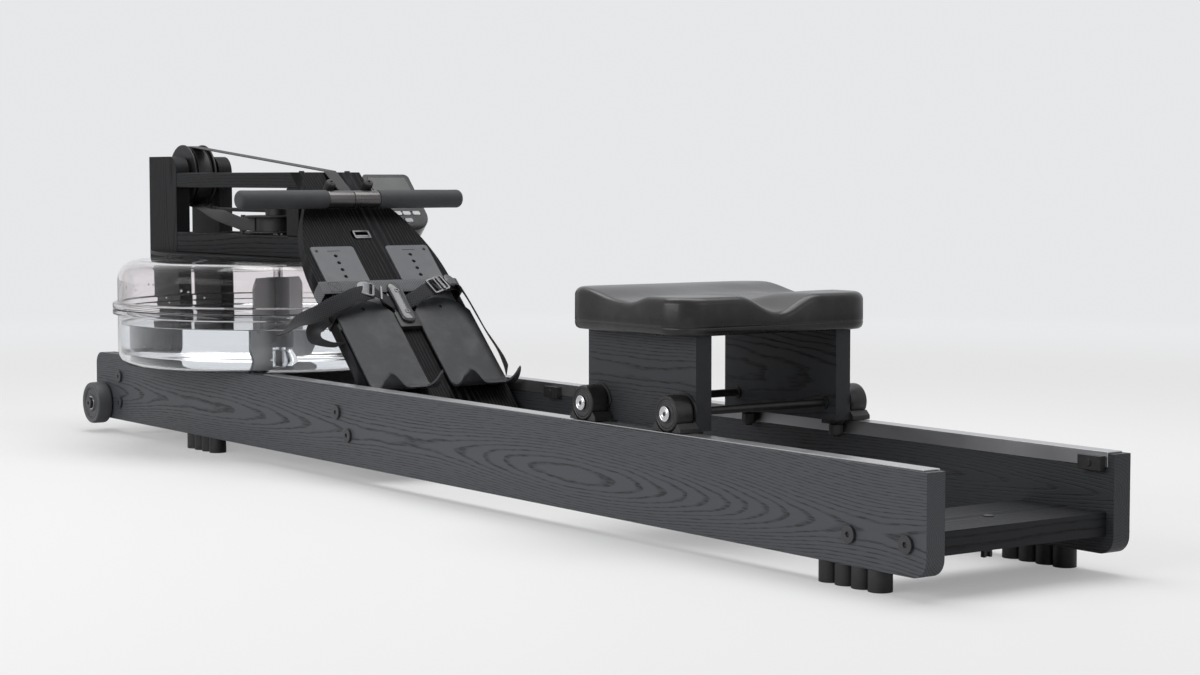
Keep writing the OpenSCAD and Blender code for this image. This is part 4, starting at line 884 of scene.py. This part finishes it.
flat_half = [(-95, -23.6), (-112, -23.6), (-118, -21), (-119.4, -12), (-119.4, 0), (-118.8, 5.2),
             (-116, 7.5), (-60, 7.6)]
flat_stops = [((FLAT_BAND_UP, y, out), FLAT_WAY) for y, out in (
    *flat_half, (0, 7.5), *((-y, out) for y, out in reversed(flat_half)))]
left_tail = [
    ((163, -55, 25.8), (0.93, -0.25, 0.2)), ((157, -82, 26.4), (0.9, -0.36, 0.26)),
    ((148, -107, 24), (0.88, -0.35, 0.33)), ((142, -128, 20), (0.85, -0.35, 0.4)),
    ((134, -151, 13), (0.88, -0.33, 0.34)), ((127, -176, 10), (0.92, -0.38, -0.05)),
    ((115, -197, 9), (0.63, -0.36, -0.69)), ((106, -212, 9), (0.5, -0.31, -0.81)),
    ((100, -222, 9), (0.5, -0.31, -0.81))]
left_loop = [
    ((150, -121.5, -8), (0.7, -0.3, 0.6)), ((137, -134, -2), (0.77, -0.59, 0.26)),
    ((120, -154.6, 0), (0.71, -0.71, 0.03)), ((106, -163.4, 0), (0.24, -0.69, -0.69)),
    ((94, -161.7, -2), (0.35, -0.01, -0.94)), ((91, -148, -6), (0.48, -0.21, -0.85)),
    ((92, -133, -10), (0.45, -0.26, -0.85)), ((93, -121.5, -12), (0.45, -0.2, -0.85))]
right_tail = [
    ((172, 60, 25.8), (0.97, 0, -0.2)), ((178, 88, 26), (0.9, 0.1, -0.4)),
    ((174, 104, 23), (0.6, 0.4, -0.7)), ((158, 114, 17), (0.35, 0.57, -0.74)),
    ((122, 120, 12), (0.12, 0.61, -0.79)), ((85, 122, 11), (0.08, 0.63, -0.77)),
    ((56, 125, 11), (0.04, 0.6, -0.8)), ((26, 125, 11), (0, 0.42, -0.91)),
    ((7, 122, 11), (0, 0.3, -0.95))]
strap_lines = [slanted_band(-1, 0.62), slanted_band(1, 0)]
strap_lines += [board_ribbon(stops) for stops in (left_tail, left_loop, right_tail)]
foot_webbing = strap_piece("foot_webbing", strap_lines, FOOT_BAND, "webbing", "foot_straps")
# The flat band's lighter webbing is painted light.
strap_piece("flat_band", [board_ribbon(flat_stops)], FOOT_BAND, "flat_webbing_lit", "foot_straps")
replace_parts(foot_webbing, "foot_straps")
print("foot straps:", len(strap_lines), "bands")

# %% [markdown]
# A pressed cam buckle holds the left strap and a ladder buckle the right one. Both are thin
# plates cut from a flat outline, so a small extruder of outlines with holes makes them.

# %% Buckles
def oval(half_long, half_wide, round_by, steps=6):
    """A rounded rectangle's outline, in mm, about its own middle."""
    out = []
    for cx, cy, first in ((1, 1, 0), (-1, 1, 90), (-1, -1, 180), (1, -1, 270)):
        out += arc_of(cx * (half_long - round_by), cy * (half_wide - round_by), round_by,
                      first, first + 90, steps)
    return out


def moved(loop, dx):
    return [(x + dx, y) for x, y in loop]


def ellipse(half_long, half_wide, angles):
    return [(half_long * cos(a), half_wide * sin(a)) for a in angles]


def plate_into(bm, outline, holes, thick, place, turn):
    """Adds a flat plate with holes, in mm, laid by a 3x3 turn at a place in metres."""
    curve = bpy.data.curves.new("outline", "CURVE")
    curve.dimensions = "2D"
    curve.fill_mode = "BOTH"
    curve.extrude = thick / 2
    curve.bevel_depth = min(0.35, thick / 4)
    curve.bevel_resolution = 1
    curve.offset = -curve.bevel_depth
    for loop in [outline] + holes:
        spline = curve.splines.new("POLY")
        spline.points.add(len(loop) - 1)
        for point, (x, y) in zip(spline.points, loop):
            point.co = (x, y, 0, 1)
        spline.use_cyclic_u = True
    holder = link_object("outline", curve)
    mesh = holder.to_mesh()
    mesh.transform(Matrix.Translation(place) @ (turn * MM).to_4x4())
    start = len(bm.verts)
    bm.from_mesh(mesh)
    holder.to_mesh_clear()
    bpy.data.objects.remove(holder)
    bm.verts.ensure_lookup_table()
    bmesh.ops.remove_doubles(bm, verts=bm.verts[start:], dist=1e-6)


def plates(name, finish, node, *parts):
    """One piece of flat plates: each part is an outline, holes, thickness, place and turn."""
    bm = bmesh.new()
    for part in parts:
        plate_into(bm, *part)
    return built(bm, name, finish, node, 40)


def board_turn(angle=0, tilt_y=0, tilt_up=0):
    """Columns: along the strap (y), up the board, off it, turned in the board and tilted."""
    turn = Matrix((Y_WAY, up_board, off_board)).transposed()
    for degrees, axis in ((angle, "Z"), (tilt_y, "Y"), (tilt_up, "X")):
        turn = turn @ Matrix.Rotation(radians(degrees), 3, axis)
    return turn


cam = ellipse(15, 12.5, (QUARTER + pi * k / 20 for k in range(21)))
cam += [(11, -12.5), (14, -9.5), (14, 9.5), (11, 12.5)]
cam_bar, ladder, ladder_bar = oval(1.6, 14.5, 1.4), oval(15, 14.5, 3), oval(2.2, 12, 1.2)
slots = [moved(oval(5.2, 11.6, 1.2), dx) for dx in (-7, 7)]
tab = ellipse(10, 12, (tau * k / 28 for k in range(28)))
buckles = plates(
    "strap_buckles", "worn_steel", "foot_buckles",
    (cam, [moved(oval(2.4, 9.5, 1.6), 7.5)], 2.0, on_board(168, -62, 27.6), board_turn(-20, 0, 8)),
    (cam_bar, [], 2.6, on_board(160, -38, 25.4), board_turn(-20)),
    (ladder, slots, 2.4, on_board(172, 66, 27.8), board_turn(16, -6)),
    (ladder_bar, [], 2.6, on_board(172, 70, 30.6), board_turn(16, -6)),
    (tab, [], 1.8, on_board(180, 91, 27.6), board_turn(16, 10)))
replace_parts(buckles, "foot_buckles")
print("buckle triangles:", sum(len(p.vertices) - 2 for p in buckles.data.polygons))

# %% [markdown]
# The centre clip is a long moulded bar with a domed, polished top, screwed to a base through
# the straps. Rings of one rounded outline are stacked, each a little smaller than the last.

# %% Centre clip
CLIP_SCREW_GAP = 21.5


def domed_into(bm, half_y, half_up, corner, levels, at_up):
    """Stacks rounded outlines, each an (inset, height) in mm, into a closed block on the board."""
    skinned(bm, [[bm.verts.new(on_board(at_up + up, y, height)) for y, up in oval(
        half_y - inset, half_up - inset, max(0.4, corner - inset), 8)] for inset, height in levels])


bm = bmesh.new()
domed_into(bm, 14, 36, 4, ((0.6, 0.05), (0, 0.6), (0, 5.4), (0.6, 6)), CLIP_UP - 4)
for k in (-1, 1):
    domed_into(bm, 4, 4, 3.9, ((0, 5.9), (0, 9.6)), CLIP_UP + k * CLIP_SCREW_GAP)
domed_into(bm, 12, 40, 11, (
    (1.4, 9), (0.4, 9.4), (0, 10.4), (0, 11.6), (0.5, 12.7), (1.6, 13.5), (3.2, 14.1),
    (5.5, 14.5), (8.5, 14.7), (11.4, 14.75)), CLIP_UP)
clip = built(bm, "centre_clip", "clip_gloss", "strap_clip", 50)
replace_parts(clip, "strap_clip")
print("centre clip:", len(clip.data.polygons), "faces")

# %% [markdown]
# An elastic cord winds the drum back. It is a braided tube with a knot beside the knob that
# holds it, and it is lofted with a map of its own for the braid.

# %% Elastic return cord
CORD_R, CORD_SIDES = 0.0034, 20
cord_low, cord_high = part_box("recoil_cord")
cord_y, cord_z = cord_low.y + 0.0035, (cord_low.z + cord_high.z) / 2
cord_start = cord_low.x + 0.0055


def bulge(x, middle, half):
    return max(0.0, 1 - ((x - middle) / half) ** 2)


def cord_ring(bm, x):
    """A ring of the cord: a knot of two bulges beside the knob, and plain cord after it."""
    knot = bulge(x, cord_start + 0.011, 0.004) + bulge(x, cord_start + 0.017, 0.0035)
    return [bm.verts.new((x, cord_y + CORD_R * (1 + 0.55 * knot) * cos(t),
                          cord_z + CORD_R * (1 + 0.55 * knot) * sin(t)))
            for t in (tau * j / CORD_SIDES for j in range(CORD_SIDES))]


bm = bmesh.new()
braid = bm.loops.layers.uv.verify()
stops = [cord_start + 0.001 * k for k in range(26)]
stops += [stops[-1] + (cord_high.x - stops[-1]) * k / 60 for k in range(1, 61)]
walls = skinned(bm, [cord_ring(bm, x) for x in stops])
for wall, start, end in zip(walls, stops, stops[1:]):
    for j, face in enumerate(wall):
        corners = (j, start), (j + 1, start), (j + 1, end), (j, end)
        for loop, (step, x) in zip(face.loops, corners):
            share = tau * CORD_R * step / CORD_SIDES
            loop[braid].uv = (1 + share + x, 1 + share - x)
cord = built(bm, "return_cord", "cord_braid", "recoil_cord", 60)
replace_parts(cord, "recoil_cord")
knob_long = (cord_high.y - cord_low.y) / MM
knob = [(0, 0), (5.4, 0), (5.4, 6), (4.4, 7.5), (4.4, knob_long - 0.1), (0, knob_long - 0.1)]
turned("cord_knob", knob, 0.6, [((cord_start / MM, cord_low.y / MM, cord_z / MM), Y_WAY)],
       "black_plastic", "recoil_cord", segments=40)
print("return cord:", round(cord_high.x - cord_low.x, 3), "m long")

# %% [markdown]
# The seat pad is moulded foam with its own skin, so it has no seams. Its top follows one
# formula: a dip across the middle for the thighs, a deep notch at the rear for the spine and a
# soft fall at the back. The rim turns over with a small radius and the underside with another.

# %% Seat pad
PAD_COUNT, PAD_THICK, PAD_ROUND, PAD_HOLLOW, PAD_RIM = 192, 0.052, 0.040, 0.013, 0.0105
PAD_SIDE = ((0.0075, 0.0), (0.0045, 0.0004), (0.002, 0.002), (0.0006, 0.0045), (0.0, 0.008),
            (0.0, 0.0095), (0.0005, 0.0102), (0.0, 0.0109), (0.0, 0.013))  # inset and height
pad_low, pad_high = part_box("seat_pad")
pad_x = (pad_low.x + pad_high.x) / 2
pad_long, pad_wide = pad_high.x - pad_low.x, pad_high.y - pad_low.y


def swell(t):
    return 0.0 if abs(t) >= 1 else cos(QUARTER * t) ** 2


def pad_top(px, py):
    x, y = px / pad_long, abs(py) / pad_wide
    dip = swell((x + 0.01) / (0.36 if x < -0.01 else 0.23)) * (0.45 + 0.55 * eased(y / 0.48))
    fall = 0.45 * eased((x + 0.05) / 0.2)
    notch = 1.55 * swell(y / 0.2) * eased((x + 0.02) / 0.5)
    bowl = 0.3 * swell(hypot(x / 0.5, y / 0.45))
    return PAD_THICK - PAD_HOLLOW * (dip + fall + notch + bowl)


def pad_corner(which, angle, radius):
    cx, cy = ((1, 1), (-1, 1), (-1, -1), (1, -1))[which % 4]
    return Vector((cx * (pad_long / 2 - PAD_ROUND) + radius * cos(angle),
                   cy * (pad_wide / 2 - PAD_ROUND) + radius * sin(angle)))


def pad_outline(inset):
    """The pad's plan: four rounded corners with straight runs between them."""
    side_steps, bend_steps, radius = PAD_COUNT // 4, PAD_COUNT // 12, PAD_ROUND - inset
    out = []
    for k in range(PAD_COUNT):
        which, step = divmod(k, side_steps)
        bend = min(step / bend_steps, 1)
        here = pad_corner(which, QUARTER * (which + bend), radius)
        if step > bend_steps:
            there = pad_corner(which + 1, QUARTER * (which + 1), radius)
            here = here.lerp(there, (step - bend_steps) / (side_steps - bend_steps))
        out.append(tuple(here))
    return out


levels = [[(x, y, height) for x, y in pad_outline(inset)] for inset, height in PAD_SIDE]
for t in (QUARTER * k / 9 for k in range(1, 10)):
    inset, drop = PAD_RIM * (1 - cos(t)), PAD_RIM * (1 - sin(t))
    levels.append([(x, y, pad_top(x, y) - drop) for x, y in pad_outline(inset)])
for f in (1 - k / 25 for k in range(1, 25)):
    levels.append([(x * f, y * f, pad_top(x * f, y * f)) for x, y in pad_outline(PAD_RIM)])
bm = bmesh.new()
rings = [[bm.verts.new((pad_x + x, y, pad_low.z + z)) for x, y, z in level] for level in levels]
skinned(bm, rings, capped=False)
middle = bm.verts.new((pad_x, 0, pad_low.z + pad_top(0, 0)))
under = bm.verts.new((pad_x, 0, pad_low.z))
for k in range(PAD_COUNT):
    n = (k + 1) % PAD_COUNT
    bm.faces.new((rings[-1][k], rings[-1][n], middle))
    bm.faces.new((rings[0][n], rings[0][k], under))
pad = built(bm, "moulded_seat", "seat", "seat_pad", 60)
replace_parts(pad, "seat_pad")
print("seat pad:", len(pad.data.polygons), "faces")

# %% [markdown]
# Screws and stitches repeat all over a machine like this one. A node tree puts a copy of one
# small template on every point of a list, turned by the point's own direction. The list is
# made here, the tree copies, and the result is kept as one plain mesh.

# %% Copies on points
def copies_end(end, given, points, instance, turn, smallest, largest):
    """Copies of any size between two, made real and given a finish."""
    tree = end.id_data
    size = tree_node(tree, "FunctionNodeRandomValue", {
        2: smallest, 3: largest, "Seed": given["Seed"]}, data_type="FLOAT")
    placed = tree_node(tree, "GeometryNodeInstanceOnPoints", {
        "Points": points, "Instance": instance, "Rotation": turn, "Scale": size.outputs[1]})
    real = tree_node(tree, "GeometryNodeRealizeInstances", {"Geometry": placed.outputs[0]})
    painted = tree_node(tree, "GeometryNodeSetMaterial", {
        "Geometry": real.outputs[0], "Material": given["Finish"]})
    set_inputs(end, {0: painted.outputs[0]})


def grown(holder, tree, inputs, name, finish, node):
    """Runs a node tree on a holder, with inputs set by identifier, and keeps a plain mesh."""
    maker = holder.modifiers.new("grown", "NODES")
    maker.node_group = tree
    inputs = {**inputs, "Finish": finishes[finish]}
    for item in tree.interface.items_tree:
        if item.in_out == "INPUT" and item.name in inputs:
            maker[item.identifier] = inputs[item.name]
    piece = link_object(name, settled(holder, name))
    piece.data.shade_smooth()
    dress(piece, finish, node)
    return piece


copies, given, end = new_tree("Copies on points", "GeometryNodeTree", {
    "Geometry": "Geometry", "Template": "Object", "Size Spread": "Float", "Seed": "Int",
    "Finish": "Material"}, {"Geometry": "Geometry"})
shape = tree_node(copies, "GeometryNodeObjectInfo", {"Object": given["Template"]})
turn = tree_node(copies, "GeometryNodeInputNamedAttribute", {"Name": "turn"},
                 data_type="FLOAT_VECTOR")
copies_end(end, given, given["Geometry"], shape.outputs["Geometry"], turn.outputs["Attribute"],
           minus(1.0, given["Size Spread"]), plus(1.0, given["Size Spread"]))


def copied(name, template, spots, finish, node, spread=0.0, seed=3):
    """spots: (place in metres, direction of the template's Z, direction of its X)."""
    mesh = bpy.data.meshes.new(name + "_points")
    mesh.from_pydata([tuple(p) for p, _, _ in spots], [], [])
    turns = mesh.attributes.new("turn", "FLOAT_VECTOR", "POINT")
    for item, (_, z_way, x_way) in zip(turns.data, spots):
        y_way = z_way.cross(x_way).normalized()
        item.vector = Matrix((y_way.cross(z_way), y_way, z_way)).transposed().to_euler()
    inputs = {"Template": template, "Size Spread": spread, "Seed": seed}
    piece = grown(link_object(name + "_points", mesh), copies, inputs, name, finish, node)
    piece.data.set_sharp_from_angle(angle=radians(35))


def template_of(name, outline, segments=24):
    bm = bmesh.new()
    lathe_into(bm, [(r * MM, a * MM) for r, a in outline], Vector(), Z_WAY, segments)
    bmesh.ops.remove_doubles(bm, verts=bm.verts, dist=1e-7)
    bmesh.ops.recalc_face_normals(bm, faces=bm.faces)
    return link_object(name, as_mesh(bm, name, 35))


socket_screw = template_of("socket_screw", [
    (0, -1), (4.4, -1), (4.4, 1.2), (3.7, 2.0), (2.2, 2.0), (2.0, 1.8), (2.0, 0.2), (0, 0.2)])
small_screw = template_of("small_screw", [
    (0, -0.8), (2.7, -0.8), (2.7, 0.3), (1.9, 0.8), (1.1, 0.8), (0.9, 0.1), (0, 0.1)])
stitch = template_of("stitch", mirrored([(0, -1.3), (0.18, -1.25), (0.3, -0.9)]), segments=6)
print("templates:", socket_screw.name, small_screw.name, stitch.name)

# %% Screws on the beams, the pegs, the clip and the plates
PEG_UP, PEG_Y, PLATE_SCREW_Y, BEAM_SCREW_X, BEAM_SCREW_Y = 389.8, 33.5, 95, -0.5, 0.041
beam_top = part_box("upper_beams")[1].z
peg_reach = max((v.co / MM - board_foot).dot(off_board)
                for v in frame["nodes"]["handle_pegs"].data.vertices)
beam_spots = [(Vector((BEAM_SCREW_X, s * BEAM_SCREW_Y, beam_top + 0.0002)), Z_WAY, Y_WAY)
              for s in (-1, 1)]
peg_places = [on_board(PEG_UP, s * PEG_Y, peg_reach - 1.2) for s in (-1, 1)]
clip_places = [on_board(CLIP_UP + k * CLIP_SCREW_GAP, 0, 13.6) for k in (-1, 1)]
plate_places = [on_board(up, s * PLATE_SCREW_Y, 3.0) for s in (-1, 1) for up in (272, 108)]
copied("beam_screws", socket_screw, beam_spots, "black_steel", "upper_beams")
for name, template, places, finish, node in (
        ("peg_screws", socket_screw, peg_places, "black_steel", "handle_pegs"),
        ("clip_screws", socket_screw, clip_places, "worn_steel", "strap_clip"),
        ("plate_screws", small_screw, plate_places, "black_steel", "footplates")):
    copied(name, template, [(p, off_board, up_board) for p in places], finish, node)
print("screws:", sum(map(len, (beam_spots, peg_places, clip_places, plate_places))))

# %% [markdown]
# The flat band is sewn near both edges of the board: a box of stitches with a cross.

# %% Stitches
STITCH_STEP, SEAM_ALONG, SEAM_ACROSS = 0.0034, 0.009, 0.0095


def stitch_box(centre):
    a, b, c, d = (centre + Y_WAY * (along * SEAM_ALONG) + up_board * (across * SEAM_ACROSS)
                  for along, across in ((-1, -1), (1, -1), (1, 1), (-1, 1)))
    spots = []
    for start, end in ((a, b), (b, c), (c, d), (d, a), (a, c), (d, b)):
        count = max(2, int((end - start).length / STITCH_STEP))
        spots += [(start.lerp(end, (k + 0.5) / count), (end - start).normalized(), off_board)
                  for k in range(count)]
    return spots


sewn = [spot for s in (-1, 1) for spot in stitch_box(on_board(FLAT_BAND_UP, s * 98, 8.55))]
copied("strap_stitches", stitch, sewn, "webbing_thread", "foot_straps", spread=0.08, seed=11)
print("stitches:", len(sewn))

# %% [markdown]
# Splashes have left drops on the inside of the tank above the water line. A node tree scatters
# them on a patch of the inner wall with a fixed seed and gives each one its own size.

# %% Drops inside the tank
DROP_R, FIRST_ANGLE, ANGLE_SPAN, PATCH_STEPS = 255.6, 200, 110, 40
drops_tree, given, end = new_tree("Drops on a wall", "GeometryNodeTree", {
    "Geometry": "Geometry", "Density": "Float", "Drop Size": "Float", "Seed": "Int",
    "Finish": "Material"}, {"Geometry": "Geometry"})
spots = tree_node(drops_tree, "GeometryNodeDistributePointsOnFaces", {
    "Mesh": given["Geometry"], "Density": given["Density"], "Seed": given["Seed"]}).outputs
drop = tree_node(drops_tree, "GeometryNodeMeshIcoSphere", {
    "Radius": given["Drop Size"], "Subdivisions": 2})
copies_end(end, given, spots["Points"], drop.outputs["Mesh"], spots["Rotation"], 0.35, 1.3)

bm = bmesh.new()
wet_rows = [[bm.verts.new(Vector((tank_x + DROP_R * cos(a), DROP_R * sin(a), z)) * MM)
             for a in (radians(FIRST_ANGLE + ANGLE_SPAN * k / PATCH_STEPS)
                       for k in range(PATCH_STEPS + 1))]
            for z in (water_top + 34, water_top + 62, tank_top - 36)]
for one, two in zip(wet_rows, wet_rows[1:]):
    for k in range(PATCH_STEPS):
        bm.faces.new((one[k], one[k + 1], two[k + 1], two[k]))
drops = grown(link_object("drops_patch", as_mesh(bm, "drops_patch", 32)), drops_tree,
              {"Density": 1500.0, "Drop Size": 0.0016, "Seed": 4}, "tank_drops", "water",
              "tank_upper")
print("drops:", len(drops.data.vertices) // 42)

# %% [markdown]
# A pressed steel frame lines the slot at the top of the board, two small guides hold the
# straps at its edges, and a block carries the centre clip. A plug and a forked cleat sit on
# the rear board.

# %% Slot frame, guides, block, plug and cleat
plates("slot_frame", "worn_steel", "foot_buckles",
       (oval(14.5, 8.5, 2.5), [oval(11.5, 5.4, 1.5)], 1.4, on_board(308, 0, 0.7), board_turn()),
       (oval(12.5, 1.6, 0.8), [], 2.0, on_board(306, 0, -1.2), board_turn()))
plates("strap_guides", "wheel", "strap_clip", *(
    (oval(8, 7, 2), [moved(oval(2.2, 4.6, 1), 3)], 3.0, on_board(up, y, 1.5), board_turn())
    for up, y in ((116, -111), (114, 110))))
plates("clip_block", "black_plastic", "strap_clip",
       (oval(19, 15, 2.5), [], 8.0, on_board(121, 0, 4.2), board_turn()))
PLUG_X, CLEAT_X, CLEAT_Y = 984, 1018, -36
rear_low, rear_high, _ = box_mm("rear_spreader")
plug = [(0, -1), (6.2, -1), (6.2, 0.9), (5, 1.7), (0, 1.9)]
turned("spreader_plug", plug, 0.3, [((PLUG_X, 0, rear_high.z), Z_WAY)], "wheel",
       "rear_spreader", segments=32)
fork = [(-6, 0), (6, 0), (6, -11), (2.5, -11), (2.5, -5), (-2.5, -5), (-2.5, -11), (-6, -11)]
plates("spreader_cleat", "black_plastic", "rear_spreader",
       (fork, [], 5, Vector((CLEAT_X, CLEAT_Y, rear_low.z + 0.1)) * MM,
        Matrix(((0, 0, 1), (1, 0, 0), (0, 1, 0)))))
for template in (socket_screw, small_screw, stitch):
    bpy.data.objects.remove(template)
print("small fittings done")
